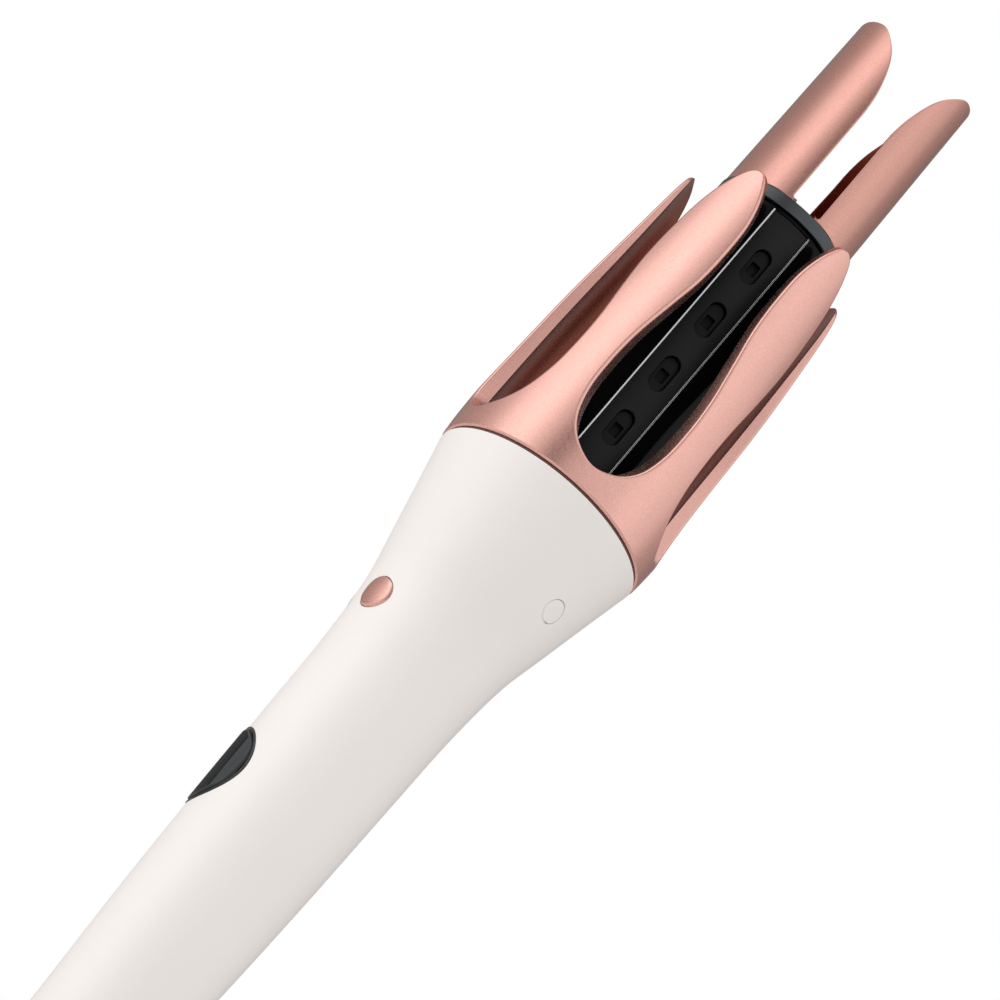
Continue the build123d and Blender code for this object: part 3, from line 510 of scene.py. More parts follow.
class Shader:
    """A Principled material that is built up with procedural detail in object space."""

    def __init__(self, name, color, **values):
        self.material = bpy.data.materials.new(name)
        self.material.use_nodes = True
        self.tree = self.material.node_tree
        self.main = self.tree.nodes["Principled BSDF"]
        self.color = color
        self.main.inputs["Base Color"].default_value = (*color, 1)
        for key, value in values.items():
            socket = key.replace("_", " ").title().replace("Ior", "IOR")
            self.main.inputs[socket].default_value = value
        self.where = self.node("TexCoord").outputs["Object"]
        self.noises = {}

    def node(self, kind, values=(), **settings):
        return add_node(self.tree, kind, values, **settings)

    def link(self, output, target):
        self.tree.links.new(output, target)

    def scaled(self, stretch):
        """Object coordinates stretched by a factor along each axis."""
        node = self.node("Mapping", [("Scale", stretch)])
        self.link(self.where, node.inputs["Vector"])
        return node.outputs["Vector"]

    def noise(self, size, detail=3, stretch=(1, 1, 1)):
        """Noise whose features are about size metres across, made once and then shared."""
        key = (size, detail, stretch)
        if key not in self.noises:
            node = self.node("TexNoise", [("Scale", 1 / size), ("Detail", detail)])
            self.link(self.scaled(stretch), node.inputs["Vector"])
            self.noises[key] = node.outputs["Fac"]
        return self.noises[key]

    def spread(self, output, low, high, begin=0.3, end=0.7):
        """A value from low to high as the input goes from begin to end."""
        ends = [("From Min", begin), ("From Max", end), ("To Min", low), ("To Max", high)]
        node = self.node("MapRange", ends)
        self.link(output, node.inputs["Value"])
        return node.outputs["Result"]

    def color_from(self, node, output):
        """Sets the base colour by a colour mix, from A to B as the output goes from 0 to 1."""
        self.link(output, node.inputs["Factor"])
        self.link(node.outputs["Result"], self.main.inputs["Base Color"])

    def vary_color(self, output, dark, light):
        """Scales the base colour between two factors by a value from 0 to 1."""
        ends = [
            (socket, (*[min(1, c * factor) for c in self.color], 1))
            for socket, factor in (("A", dark), ("B", light))
        ]
        self.color_from(self.node("Mix", ends, data_type="RGBA"), output)

    def blend(self, output, color):
        """Paints shade: mixes the base colour towards a darker one by a value from 0 to 1."""
        node = self.node("Mix", [("B", (*color, 1))], data_type="RGBA")
        self.link(self.main.inputs["Base Color"].links[0].from_socket, node.inputs["A"])
        self.color_from(node, output)

    def from_axis(self, operation):
        """Vector maths on the part of the position that points away from the tool's axis."""
        geometry = self.node("NewGeometry")
        flat = self.node("VectorMath", [(1, (1, 1, 0))], operation="MULTIPLY")
        self.link(geometry.outputs["Position"], flat.inputs[0])
        node = self.node("VectorMath", operation=operation)
        self.link(flat.outputs["Vector"], node.inputs[0])
        return geometry, node

    def inward_shade_mask(self):
        """1 where the surface faces the tool's axis, 0 where it faces away from it."""
        geometry, outward = self.from_axis("NORMALIZE")
        dot = self.node("VectorMath", operation="DOT_PRODUCT")
        self.link(outward.outputs["Vector"], dot.inputs[0])
        self.link(geometry.outputs["Normal"], dot.inputs[1])
        return self.spread(dot.outputs["Value"], 1, 0, -0.7, -0.1)

    def below_radius(self, low, high):
        """1 nearer to the axis than the low radius, 0 beyond the high one, in metres."""
        return self.spread(self.from_axis("LENGTH")[1].outputs["Value"], 1, 0, low, high)

    def vary_roughness(self, output, low, high):
        self.link(self.spread(output, low, high), self.main.inputs["Roughness"])

    def bump(self, output, height, strength):
        node = self.node("Bump", [("Strength", strength), ("Distance", height)])
        self.link(output, node.inputs["Height"])
        self.link(node.outputs["Normal"], self.main.inputs["Normal"])


def coated(name, color, tone, rough, relief, **values):
    """A surface that varies: tone is (noise, dark, light), rough (noise, low, high) and relief
    (noise, height, strength), and each noise has the arguments of Shader.noise()."""
    shader = Shader(name, color, **values)
    shader.vary_color(shader.noise(*tone[0]), *tone[1:])
    shader.vary_roughness(shader.noise(*rough[0]), *rough[1:])
    shader.bump(shader.noise(*relief[0]), *relief[1:])
    return shader


def plain(name, color, grain=0.0004, height=0.00001, roughness=0.5, **values):
    """A moulded or machined surface with a fine grain and slight unevenness."""
    rough = ((grain, 2), roughness * 0.92, roughness * 1.08)
    relief = ((grain, 2), height, 0.25)
    tone = ((0.012, 4), 0.93, 1.05)
    return coated(name, color, tone, rough, relief, roughness=roughness, **values).material


def rose_metal(name, color):
    """Satin rose gold with fine metal flakes, and painted shade that darkens faces that look
    inwards.
    """
    shader = Shader(name, color, metallic=1.0, roughness=0.27)
    shader.vary_color(shader.spread(shader.noise(0.0004, 2), 0, 1), 0.93, 1.06)
    # Painted shade: faces that look inwards towards the axis are mixed towards a dark brown.
    shader.blend(shader.inward_shade_mask(), (0.30, 0.085, 0.055))
    shader.vary_roughness(shader.noise(0.0008, 3), 0.24, 0.30)
    shader.bump(shader.noise(0.00035, 2), 0.000004, 0.25)
    return shader.material


def handle_white():
    """Soft warm white plastic with a very fine grain."""
    fine = (0.00018, 2)
    return coated(
        "handle_white", (0.87, 0.835, 0.81),
        ((0.02, 3), 0.985, 1.015), (fine, 0.40, 0.46), (fine, 0.000006, 0.2),
        roughness=0.42, coat_weight=0.1, coat_roughness=0.3,
    ).material


def strip_black():
    """Matt black strip with a close grain, and painted shade that makes its recesses and their
    holes nearly black.
    """
    grain = (0.00025, 3)
    shader = coated(
        "strip_black", (0.0085, 0.0088, 0.0088),
        ((0.006, 4), 0.85, 1.2), (grain, 0.42, 0.56), (grain, 0.00001, 0.3),
        roughness=0.5, specular_ior_level=0.2,
    )
    # Painted shade: everything nearer the axis than the strip's face, its recesses and holes, is
    # mixed towards near black.
    shader.blend(shader.below_radius(0.0148, 0.0155), (0.0012, 0.0012, 0.0012))
    return shader.material


def black_ceramic():
    """Black ceramic coat with a faint orange peel. Its IOR is lower than a real coat's: it is
    fitted to the photo, where the barrel hardly reflects."""
    return coated(
        "black_ceramic", (0.003, 0.003, 0.0032),
        ((0.01, 3), 0.8, 1.3), ((0.003, 2), 0.09, 0.15), ((0.0016, 2), 0.000004, 0.2),
        roughness=0.12, ior=1.18,
    ).material


def gunmetal():
    """Satin dark metal, brushed round the axis."""
    brushed = (0.004, 3, (1, 1, 22))
    return coated(
        "gunmetal", (0.085, 0.092, 0.096),
        (brushed, 0.85, 1.15), (brushed, 0.3, 0.4), ((0.0003, 2), 0.000008, 0.3),
        metallic=1.0, roughness=0.28,
    ).material


def charcoal_grained():
    """Satin charcoal plastic with a fine cross grain for grip."""
    grain = (0.00035, 1)
    return coated(
        "charcoal_grained", (0.0105, 0.0125, 0.0135),
        ((0.0022, 4), 0.85, 1.15), (grain, 0.46, 0.58), (grain, 0.00004, 0.5),
        roughness=0.52, specular_ior_level=0.15,
    ).material


def board_green():
    """Lacquered circuit board with the trace of its tracks."""
    shader = Shader("board_green", (0.03, 0.18, 0.09), roughness=0.35, coat_weight=0.4)
    tracks = shader.noise(0.003, 0, (1, 4, 1))
    edges = (0, 1, 0.48, 0.52)
    shader.vary_color(shader.spread(tracks, *edges), 0.75, 1.25)
    shader.bump(shader.spread(tracks, *edges), 0.00003, 0.4)
    return shader.material


MATERIALS = {
    "rose_metal": rose_metal("rose_gold_paint", (0.80, 0.445, 0.385)),
    "handle_white": handle_white(),
    "strip_black": strip_black(),
    "black_ceramic": black_ceramic(),
    "gunmetal": gunmetal(),
    "charcoal": charcoal_grained(),
    "board_green": board_green(),
}

# Materials that need no more than a fine grain, as their arguments for plain().
PLAIN_MATERIALS = {
    "dark_gasket": dict(color=(0.12, 0.052, 0.042), roughness=0.6),
    "black_plastic": dict(color=(0.006, 0.006, 0.0065), roughness=0.5, specular_ior_level=0.2),
    "bright_trim": dict(
        color=(0.62, 0.63, 0.64), grain=0.0008, height=0.000002, metallic=1.0, roughness=0.2
    ),
    "steel": dict(color=(0.62, 0.62, 0.64), grain=0.0006, metallic=1.0, roughness=0.28),
    "gear_nylon": dict(color=(0.75, 0.72, 0.64), roughness=0.45, subsurface_weight=0.1),
    "bearing_plastic": dict(color=(0.42, 0.27, 0.13), roughness=0.45),
    "aluminium": dict(
        color=(0.008, 0.008, 0.0085), grain=0.0005, roughness=0.6, specular_ior_level=0.15
    ),
    "heater_ceramic": dict(color=(0.50, 0.48, 0.44), roughness=0.7),
    "brass_metal": dict(color=(0.72, 0.52, 0.21), metallic=1.0, roughness=0.3),
    "grey_plastic": dict(color=(0.30, 0.29, 0.285), roughness=0.48),
    "gloss_black": dict(
        color=(0.012, 0.013, 0.014), grain=0.002, height=0.000003, roughness=0.16
    ),
    "capacitor_blue": dict(color=(0.02, 0.04, 0.14), grain=0.001, roughness=0.25),
    "fuse_glass": dict(
        color=(0.85, 0.88, 0.88), grain=0.002, roughness=0.08, transmission_weight=0.8
    ),
}
MATERIALS |= {name: plain(name, **values) for name, values in PLAIN_MATERIALS.items()}


def dress_cad_nodes():
    """Gives every CAD node the material of its slot in the record."""
    for part in frame["record"]["subparts"]:
        node = frame["nodes"][part["node"]]
        node.data.materials.clear()
        node.data.materials.append(MATERIALS[part["material_slot"]])


dress_cad_nodes()

# Darker than the guard's, fitted to the photo. In the record both have the rose_metal slot.
# Painted shade: this darker copy of the rose gold stands in for the darker look of the prongs
# under the studio light.
PRONG_SHADED_METAL = rose_metal("rose_gold_prongs_shaded", (0.64, 0.335, 0.28))
HANDLE = Turned(HANDLE_PROFILE)
HANDLE_INSIDE = Turned([(r - HANDLE_WALL, h) for r, h in HANDLE_PROFILE], side=-1)


# ---------------------------------------------------------------- petal shell

def petal_sector(bm, outer, inner, start, end, left, right):
    """One petal and its share of the skirt, between the middles of two openings."""
    reach = PETAL_REACH
    low = SHELL_PROFILE[0][1]
    chains = []
    for lean in (0, PETAL_SLANT):
        leaning = [
            [(max(0.0, angle - lean * min(1.0, angle / 15)), height) for angle, height in side]
            for side in (left, right)
        ]
        near = [(math.radians(start + angle) * reach, height) for angle, height in leaning[0]]
        far = [(math.radians(end - angle) * reach, height) for angle, height in leaning[1]]
        before = (2 * near[0][0] - near[1][0], near[1][1])
        after = (2 * far[0][0] - far[1][0], far[1][1])
        edge = smooth_curve(near[:-1] + far[::-1], 0.1, before, after)
        chains.append(resampled(edge, count=280)[::-1])
    span = np.linspace(math.radians(start), math.radians(end), 45) * reach
    foot = [(float(x), low) for x in span]
    wall(bm, outer, inner, reach, foot, chains, [], ((0.72, 0.25), None), (1.5, 1.6))


def build_petal_shell():
    """Five petals that stand on one skirt."""
    low = SHELL_PROFILE[0][1]
    outer = Turned(SHELL_PROFILE)
    ledge = 0.5
    inner = Turned(
        [(SKIRT_BORE, low), (SKIRT_BORE, CHAMBER_FLOOR - ledge), SHELL_INNER[0]]
        + smooth_curve(SHELL_INNER, 2.0)[1:],
        side=-1,
        curved=False,
    )
    narrow = (180 - BACK_OPENING) / OPENING_SIDE[-1][0]
    back_petal = [(angle * narrow, height) for angle, height in OPENING_SIDE]
    side_petal = OPENING_SIDE[:-2] + [(31.2, 89.0), (36.0, SIDE_PETAL_TIP)]
    sectors = [
        (0, SIDE_OPENING, OPENING_SIDE, OPENING_SIDE),
        (SIDE_OPENING, BACK_OPENING, side_petal, BACK_OPENING_SIDE),
        (BACK_OPENING, 360 - BACK_OPENING, back_petal, back_petal),
        (360 - BACK_OPENING, 360 - SIDE_OPENING, BACK_OPENING_SIDE, side_petal),
        (360 - SIDE_OPENING, 360, OPENING_SIDE, OPENING_SIDE),
    ]
    bm = new_mesh()
    for start, end, left, right in sectors:
        petal_sector(bm, outer, inner, start, end, left, right)
    settle("petal_shell_skin", bm, "handle", "rose_metal", ["petal_shell"])


build_petal_shell()


# ---------------------------------------------------------------- handle

def bored_hole(azimuth, offset, height, size, surface, reach, sense=1, count=40):
    """Outline on a turned face of an oval hole bored along an azimuth, clockwise.
    offset is counted across the azimuth, to the left if sense is -1."""
    made = []
    for i in range(count):
        turn = -2 * math.pi * i / count
        across = offset + size[0] * math.cos(turn)
        z = height + size[1] * math.sin(turn)
        angle = math.radians(azimuth) + sense * math.asin(across / surface.radius(z))
        made.append((angle * reach, z))
    return made


def build_handle():
    """White shell of the handle, with its holes for the controls and the screw caps."""
    reach = 18.0
    half = math.pi * reach
    faces = (HANDLE, HANDLE_INSIDE)
    columns = 96
    widths = [-half + 2 * half * i / columns for i in range(columns + 1)]
    foot = [(x, HANDLE_LOW) for x in widths]
    brim = [(x, -SEAM_GAP) for x in reversed(widths)]
    controls = [(side * BUTTON_OFFSET, BUTTON_HEIGHT, BUTTON_HOLE, 64) for side in (-1, 1)]
    controls.append((0, ROCKER_HEIGHT, (ROCKER_HOLE, ROCKER_HOLE), 96))
    holes = [
        tuple(bored_hole(-90, *place, size, face, reach, -1, count) for face in faces)
        for *place, size, count in controls
    ]
    screw_hole = (SCREW_HOLE, SCREW_HOLE)
    holes += [
        tuple(bored_hole(azimuth, 0, SCREW_HEIGHT, screw_hole, face, reach) for face in faces)
        for azimuth in SCREW_AZIMUTHS
    ]
    lips = ((0.3, 0.2), (0.15, 0.1))
    bm = new_mesh()
    wall(bm, *faces, reach, foot, (brim, brim), holes, lips, (2 * half / columns, 2.6))
    settle("handle_skin", bm, "handle", "handle_white", ["handle_shell"])


build_handle()


# ---------------------------------------------------------------- barrel and prongs

def slab(low, high, half, corner, faces, step=1.2):
    """Rectangular outline with rounded corners on two turned faces, anticlockwise.
    half is its half width along X."""
    arcs = [p for p, _ in rounded(block((-half, low), (half, high), corner), 3)]
    chains = []
    for face in faces:
        line = []
        for here, after in zip(arcs, arcs[1:] + arcs[:1]):
            gap = math.dist(here, after)
            pieces = max(1, round(gap / step))
            line += [
                tuple(here[k] + (after[k] - here[k]) * i / pieces for k in (0, 1))
                for i in range(pieces)
            ]
        radius = face.radius((low + high) / 2)
        chains.append([(math.asin(x / radius) * BARREL_RADIUS, h) for x, h in line])
    return tuple(chains)


def clockwise(chain):
    return tuple(line[::-1] for line in chain)


def cylinder(radius, low, high, side=1):
    return Turned([(radius, low), (radius, high)], side, False)


def build_barrel_sleeve():
    """Half of the sleeve with its window, repeated once."""
    reach = BARREL_RADIUS
    half = math.pi / 2 * reach
    faces = (
        cylinder(BARREL_RADIUS, BARREL_LOW, BARREL_TOP),
        cylinder(BARREL_BORE, BARREL_LOW, BARREL_TOP, -1),
    )
    foot = [(-half + 2 * half * i / 36, BARREL_LOW) for i in range(37)]
    brim = [(x, BARREL_TOP) for x, _ in reversed(foot)]
    opening = STRIP_HALF + TRIM_WIDTH + FIT
    window = clockwise(slab(WINDOW_LOW, WINDOW_HIGH, opening, 0.2, faces))
    bm = new_mesh()
    part = new_mesh()
    lips = ((0.2, 0.1), (0.12, 0.1))
    wall(part, *faces, reach, foot, (brim, brim), [window], lips, (1.4, 2.5))
    repeat(bm, part, 2)
    settle("barrel_sleeve_skin", bm, "barrel", "black_ceramic", ["barrel_sleeve"])


def obround(height, wide, tall, count=14):
    """Outline of a slot with round ends, long along the axis, clockwise."""
    radius = wide / 2
    made = []
    for end in (1, -1):
        middle = height + end * (tall / 2 - radius)
        for i in range(count + 1):
            turn = math.pi * i / count
            made.append((-end * radius * math.cos(turn), middle + end * radius * math.sin(turn)))
        other = height - end * (tall / 2 - radius)
        made += [(end * radius, middle + (other - middle) * i / 6) for i in range(1, 6)]
    return made


def build_vent_strip(name, turn):
    """Strip with four long recesses, each with a small square hole through its floor."""
    reach = BARREL_RADIUS
    low, high = WINDOW_LOW + FIT, WINDOW_HIGH - FIT
    outer = cylinder(STRIP_RADIUS, low, high)
    inner = cylinder(STRIP_BACK, low, high, -1)
    floor = cylinder(VENT_FLOOR, low, high)
    vents, holes = [], []
    for row in range(VENT_COUNT):
        height = VENT_FIRST + VENT_PITCH * row
        ring = [(x * reach / STRIP_RADIUS, h) for x, h in obround(height, *VENT_SIZE)]
        vents.append((ring, [(x * STRIP_RADIUS / VENT_FLOOR, h) for x, h in ring]))
        hole = slab(height - 2.0, height + 1.2, 1.15, 0.25, (floor, inner), 0.8)
        holes.append(clockwise(hole))
    bm = new_mesh()
    outline = slab(low, high, STRIP_HALF, 0.15, (outer, inner))
    edge = rim(bm, outer, inner, reach, outline, (0.15, 0.1))
    recesses = [rim(bm, outer, floor, reach, chain, (0.28, -0.2)) for chain in vents]
    bores = [rim(bm, floor, inner, reach, chain, (0.12, 0.1)) for chain in holes]
    for which, face, cuts, spacing in (
        (0, outer, recesses, (1.0, 1.6)),
        (1, inner, bores, (1.4, 2.0)),
    ):
        loops, rows = zip(*[(flats[which], made[which]) for flats, made in [edge] + cuts])
        fill(bm, face, reach, loops, rows, spacing)
    for recess, bore in zip(recesses, bores):
        loops, rows = ([recess[k][1], bore[k][0]] for k in (0, 1))
        fill(bm, floor, reach, loops, rows, (0.9, 0.9))
    turn_part(bm, turn)
    settle(name + "_skin", bm, "barrel", "strip_black", [name])


def build_edge_trims():
    """Four bright strips beside the vent strips, one of each pair grooved down its middle."""
    bm = new_mesh()
    half = TRIM_WIDTH / 2
    edge = half - 0.03
    plain_trim = [(-edge, edge, TRIM_TOP)]
    grooved_trim = [(-edge, -0.06, TRIM_TOP), (0.08, edge, TRIM_LOWER_TOP)]
    for across in (-1, 1):
        for face in (-1, 1):
            middle = across * (STRIP_HALF + FIT / 2 + half)
            for near, far, top in plain_trim if across == face else grooved_trim:
                left, right = sorted((middle + across * near, middle + across * far))
                low, high = sorted((face * TRIM_BACK, face * top))
                heights = np.linspace(WINDOW_LOW + FIT, WINDOW_HIGH - FIT, 24)
                post(bm, (left, low), (right, high), 0.05, heights, 4)
    settle("edge_trim_strips", bm, "barrel", "bright_trim", ["edge_trims"])


def build_collar():
    """Dark ring over the barrel's top, with a step inside for the prongs' feet."""
    bm = new_mesh()
    lathe(bm, [
        (COLLAR_BORE, BARREL_TOP, 0.1),
        (COLLAR_RADIUS, BARREL_TOP, 0.25),
        (COLLAR_RADIUS, COLLAR_TOP, 0.25),
        (16.5, COLLAR_TOP, 0.1),
        (16.5, COLLAR_SEAT, 0.1),
        (COLLAR_BORE, COLLAR_SEAT, 0.1),
    ], 160)
    settle("collar_ring", bm, "barrel", "gunmetal", ["collar"])


def build_prong(name, turn):
    """Half tube with a rounded shoulder, on a foot and a tab that reach inside the collar.
    Its back edge stands off by SLOT_FLARE, rising over FLARE_HEIGHTS."""
    reach = 16.5
    low, high = COLLAR_TOP + FIT, PRONG_TOP
    outer = Turned([(16.75, low), (16.1, high + 1)], 1, False)
    inner = Turned([(14.55, low), (14.2, high + 1)], -1, False)
    shoulder = smooth_curve(PRONG_SHOULDER, 0.05, (SLOT_HALF, 120))
    shoulder_x, shoulder_h = zip(*shoulder)
    edge = [(PRONG_FOOT_HALF, low), (3.4, low + 0.6), (SLOT_HALF, low + 1.3)]
    edge += resampled([(SLOT_HALF, low + 1.9), PRONG_SHOULDER[0]], 1.5)[:-1]
    middle = math.pi / 2 * reach
    chains = []
    for face in (outer, inner):
        top = face.radius(PRONG_TOP)
        crown = [(math.asin(x / top), h) for x, h in shoulder if x < top]
        apex = (math.pi / 2, float(np.interp(top, shoulder_x, shoulder_h)))
        crown = resampled([(a * reach, h) for a, h in crown + [apex]], count=44)
        side = [(math.asin(x / face.radius(h)) * reach, h) for x, h in edge] + crown
        flared = [
            (a + SLOT_FLARE * float(np.interp(h, FLARE_HEIGHTS, (0, 1))) * (1 - a / middle), h)
            for a, h in side
        ]
        near, far = (flared, side) if turn else (side, flared)
        back = [(2 * middle - a, h) for a, h in reversed(far[:-1])]
        foot = [(a, low) for a in np.linspace(back[-1][0], near[0][0], 30)[1:-1]]
        chains.append((near + back + foot)[::-1])
    bm = new_mesh()
    panel(bm, outer, inner, reach, tuple(chains), (0.42, 0.32), (1.3, 1.8))
    start = math.asin(PRONG_FOOT_HALF / 16.45)
    lathe(bm, [
        (9.0, 91.25, 0.15),
        (14.5, 91.25, 0.1),
        (14.5, 89.45, 0.1),
        (16.45, 89.45, 0.1),
        (16.45, low + 0.4, 0.1),
        (14.9, 93.3, 0.2),
        (9.0, 93.3, 0.3),
    ], 48, start, math.pi - 2 * start)
    turn_part(bm, turn)
    settle(name + "_skin", bm, "barrel", "rose_metal", [name], PRONG_SHADED_METAL)


build_barrel_sleeve()
build_vent_strip("vent_strip_front", 0)
build_vent_strip("vent_strip_back", math.pi)
build_edge_trims()
build_collar()
build_prong("prong_right", 0)
build_prong("prong_left", math.pi)


# ---------------------------------------------------------------- controls and small parts

def control_point(y, z, proud):
    """Place on the control side of the handle, proud of its face."""
    radius = HANDLE.radius(z) + proud
    return Vector((-math.sqrt(radius**2 - y**2), y, z))


def oval(centre_y, centre_z, size, count, scale=1):
    """Points (y, z) round an ellipse of the given half axes."""
    turns = [2 * math.pi * i / count for i in range(count)]
    return [
        (centre_y + scale * size[0] * math.cos(a), centre_z + scale * size[1] * math.sin(a))
        for a in turns
    ]


def rocker_circle(radius, count):
    return oval(0, ROCKER_HEIGHT, (radius, radius), count)


def build_button(name, side):
    """Domed cap with a rounded edge, a straight wall and a flange inside the handle."""
    count = 72
    y, z = side * BUTTON_OFFSET, BUTTON_HEIGHT
    top, dome, edge, flat = 0.7, 0.35, 0.55, 0.86
    wall_foot, flange_back = -9.7, -9.0
    levels = [(scale, dome * scale**2) for scale in np.linspace(0, flat, 9)[1:]]
    for step in range(1, 7):
        turn = math.pi / 2 * step / 6
        scale = flat + (1 - flat) * math.sin(turn)
        levels.append((scale, dome * scale**2 + edge * (1 - math.cos(turn))))
    rows = [
        [control_point(*p, top - drop) for p in oval(y, z, BUTTON_SIZE, count, scale)]
        for scale, drop in levels
    ]
    flange_y = side * FLANGE_OFFSET
    wall_line, flange = oval(y, z, BUTTON_SIZE, count), oval(flange_y, z, FLANGE_SIZE, count)
    for x, line in (
        (-12.5, wall_line),
        (wall_foot, wall_line),
        (wall_foot, flange),
        (flange_back, flange),
    ):
        rows.append([Vector((x, *p)) for p in line])
    bm = new_mesh()
    stack(bm, rows, control_point(y, z, top), Vector((flange_back, flange_y, z)))
    settle(name + "_cap", bm, name, "rose_metal", [name])


def rocker_face(y, z):
    """Depth of the rocker's front: a band that follows the handle, with a fine ridge along
    each edge, and a dished pad on each side."""
    if abs(y) <= BAND_HALF:
        ridge = max(0.0, 1 - abs(abs(y) - RIDGE_OFFSET) / RIDGE_SIZE)
        return control_point(y, z, 0.5 + RIDGE_SIZE * ridge).x
    along = min(1.0, (abs(y) - BAND_HALF) / 3.7)
    return -16.42 + 1.87 * along + 0.28 * math.sin(math.pi * min(1.0, along * 1.15))


def build_rocker():
    """Round rocker with a grained band, smooth pads, a rounded edge and two legs."""
    count, samples = 112, 36
    edge, back = ROCKER_EDGE, -14.0
    flat = ROCKER_RADIUS - edge
    bm = new_mesh()
    ring = rocker_circle(flat, count)
    points = [Vector(p) for p in ring]
    edges = [(i, (i + 1) % count) for i in range(count)]
    creases = (BAND_HALF + 0.12, BAND_HALF, RIDGE_OFFSET, RIDGE_OFFSET - RIDGE_SIZE)
    for y in [-y for y in creases] + list(reversed(creases)):
        reach = math.sqrt(flat**2 - y**2) - 0.15
        edges += [(len(points) + i, len(points) + i + 1) for i in range(samples - 1)]
        points += [Vector((y, ROCKER_HEIGHT + h)) for h in np.linspace(-reach, reach, samples)]
    for y in np.arange(-9.0, 9.1, 0.5):
        if abs(abs(y) - 6.3) > 0.5:
            reach = math.sqrt(flat**2 - y**2) - 0.4
            points += [Vector((y, ROCKER_HEIGHT + h)) for h in np.arange(-reach, reach, 0.6)]
    made = delaunay_2d_cdt(points, edges, [], 1, 1e-7, True)
    verts = [vertex(bm, (rocker_face(p[0], p[1]), p[0], p[1])) for p in made[0]]
    for face in made[2]:
        offset = sum(abs(made[0][i][0]) for i in face) / 3
        bm.faces.new([verts[i] for i in face]).material_index = 0 if offset < BAND_HALF else 1
    border = {
        source: verts[i]
        for i, sources in enumerate(made[3])
        for source in sources
        if source < count
    }
    last = [border[i] for i in range(count)]
    for step in range(1, 6):
        turn = math.pi / 2 * step / 5
        scale = 1 + edge * math.sin(turn) / flat
        grown = oval(0, ROCKER_HEIGHT, (flat, flat), count, scale)
        drop = edge * (1 - math.cos(turn))
        row = [vertex(bm, (rocker_face(*p) + drop, *q)) for p, q in zip(ring, grown)]
        bridge(bm, last, row, True)
        last = row
    under = [vertex(bm, (back, *p)) for p in rocker_circle(ROCKER_RADIUS, count)]
    bridge(bm, last, under, True)
    fan(bm, under, (back, 0, ROCKER_HEIGHT))
    for face in bm.faces:
        if face.calc_center_median().x > back + 0.05 or len(face.verts) == 4:
            face.material_index = 1
    for side in (-1, 1):
        low, high = (-14.3, side * 7 - 0.9), (-8.9, side * 7 + 0.9)
        post(bm, low, high, 0.3, (ROCKER_HEIGHT - 1.8, ROCKER_HEIGHT + 1.8))
    piece = settle("rocker_button", bm, "rocker", "charcoal", ["direction_rocker"], sharp=30)
    piece.data.materials.append(PAD)


def build_rocker_cup():
    """Glossy cup round the rocker with a thin rounded brim, and two blocks for its pin."""
    count = 128
    bore, outside, floor, back = 10.4, 11.05, -10.6, -9.6
    rows = [[Vector((back, *p)) for p in rocker_circle(outside, count)]]
    for turn in np.linspace(0, math.pi, 9):
        radius = (bore + outside) / 2 + (outside - bore) / 2 * math.cos(turn)
        proud = 0.25 - 0.28 * (1 - math.sin(turn))
        rows.append([control_point(*p, proud) for p in rocker_circle(radius, count)])
    rows.append([Vector((floor, *p)) for p in rocker_circle(bore, count)])
    bm = new_mesh()
    stack(bm, rows, Vector((back, 0, ROCKER_HEIGHT)), Vector((floor, 0, ROCKER_HEIGHT)))
    for side in (-1, 1):
        middle = ROCKER_HEIGHT + side * 8.0
        post(bm, (-13.8, -2.2), (-9.8, 2.2), 0.3, (middle - 0.9, middle + 0.9))
    settle("rocker_bezel", bm, "handle", "gloss_black", ["rocker_cup"])


def cap_point(out, along, turn, radius, sink):
    """Place on a screw cap's face, which follows the handle and has a small notch in its rim."""
    radius -= 0.35 * max(0.0, math.cos(turn + 1.25)) ** 60
    u, v = radius * math.cos(turn), radius * math.sin(turn)
    distance = HANDLE.radius(SCREW_HEIGHT + v) - sink
    return out * math.sqrt(distance**2 - u**2) + along * u + Vector((0, 0, SCREW_HEIGHT + v))


def build_screw_caps():
    """Round plugs flush with the handle, each with a small notch to lift it out."""
    count = 96
    rim_width, sink, back = 0.2, 0.05, 21.6
    turns = [2 * math.pi * i / count for i in range(count)]
    levels = [(radius, sink) for radius in (0.6, 1.2, 1.8, 2.3, CAP_RADIUS - rim_width)]
    for step in range(1, 5):
        bend = math.pi / 2 * step / 4
        radius = CAP_RADIUS - rim_width + rim_width * math.sin(bend)
        levels.append((radius, sink + rim_width * (1 - math.cos(bend))))
    bm = new_mesh()
    for azimuth in SCREW_AZIMUTHS:
        middle = math.radians(azimuth)
        out = Vector((math.sin(middle), -math.cos(middle), 0))
        along = Vector((math.cos(middle), math.sin(middle), 0))
        rows = [[cap_point(out, along, t, *level) for t in turns] for level in levels]
        rows.append([
            out * back
            + along * CAP_RADIUS * math.cos(t)
            + Vector((0, 0, SCREW_HEIGHT + CAP_RADIUS * math.sin(t)))
            for t in turns
        ])
        middle_back = out * back + Vector((0, 0, SCREW_HEIGHT))
        stack(bm, rows, cap_point(out, along, 0, 0, sink), middle_back)
    settle("screw_cap_plugs", bm, "handle", "handle_white", ["screw_caps"])


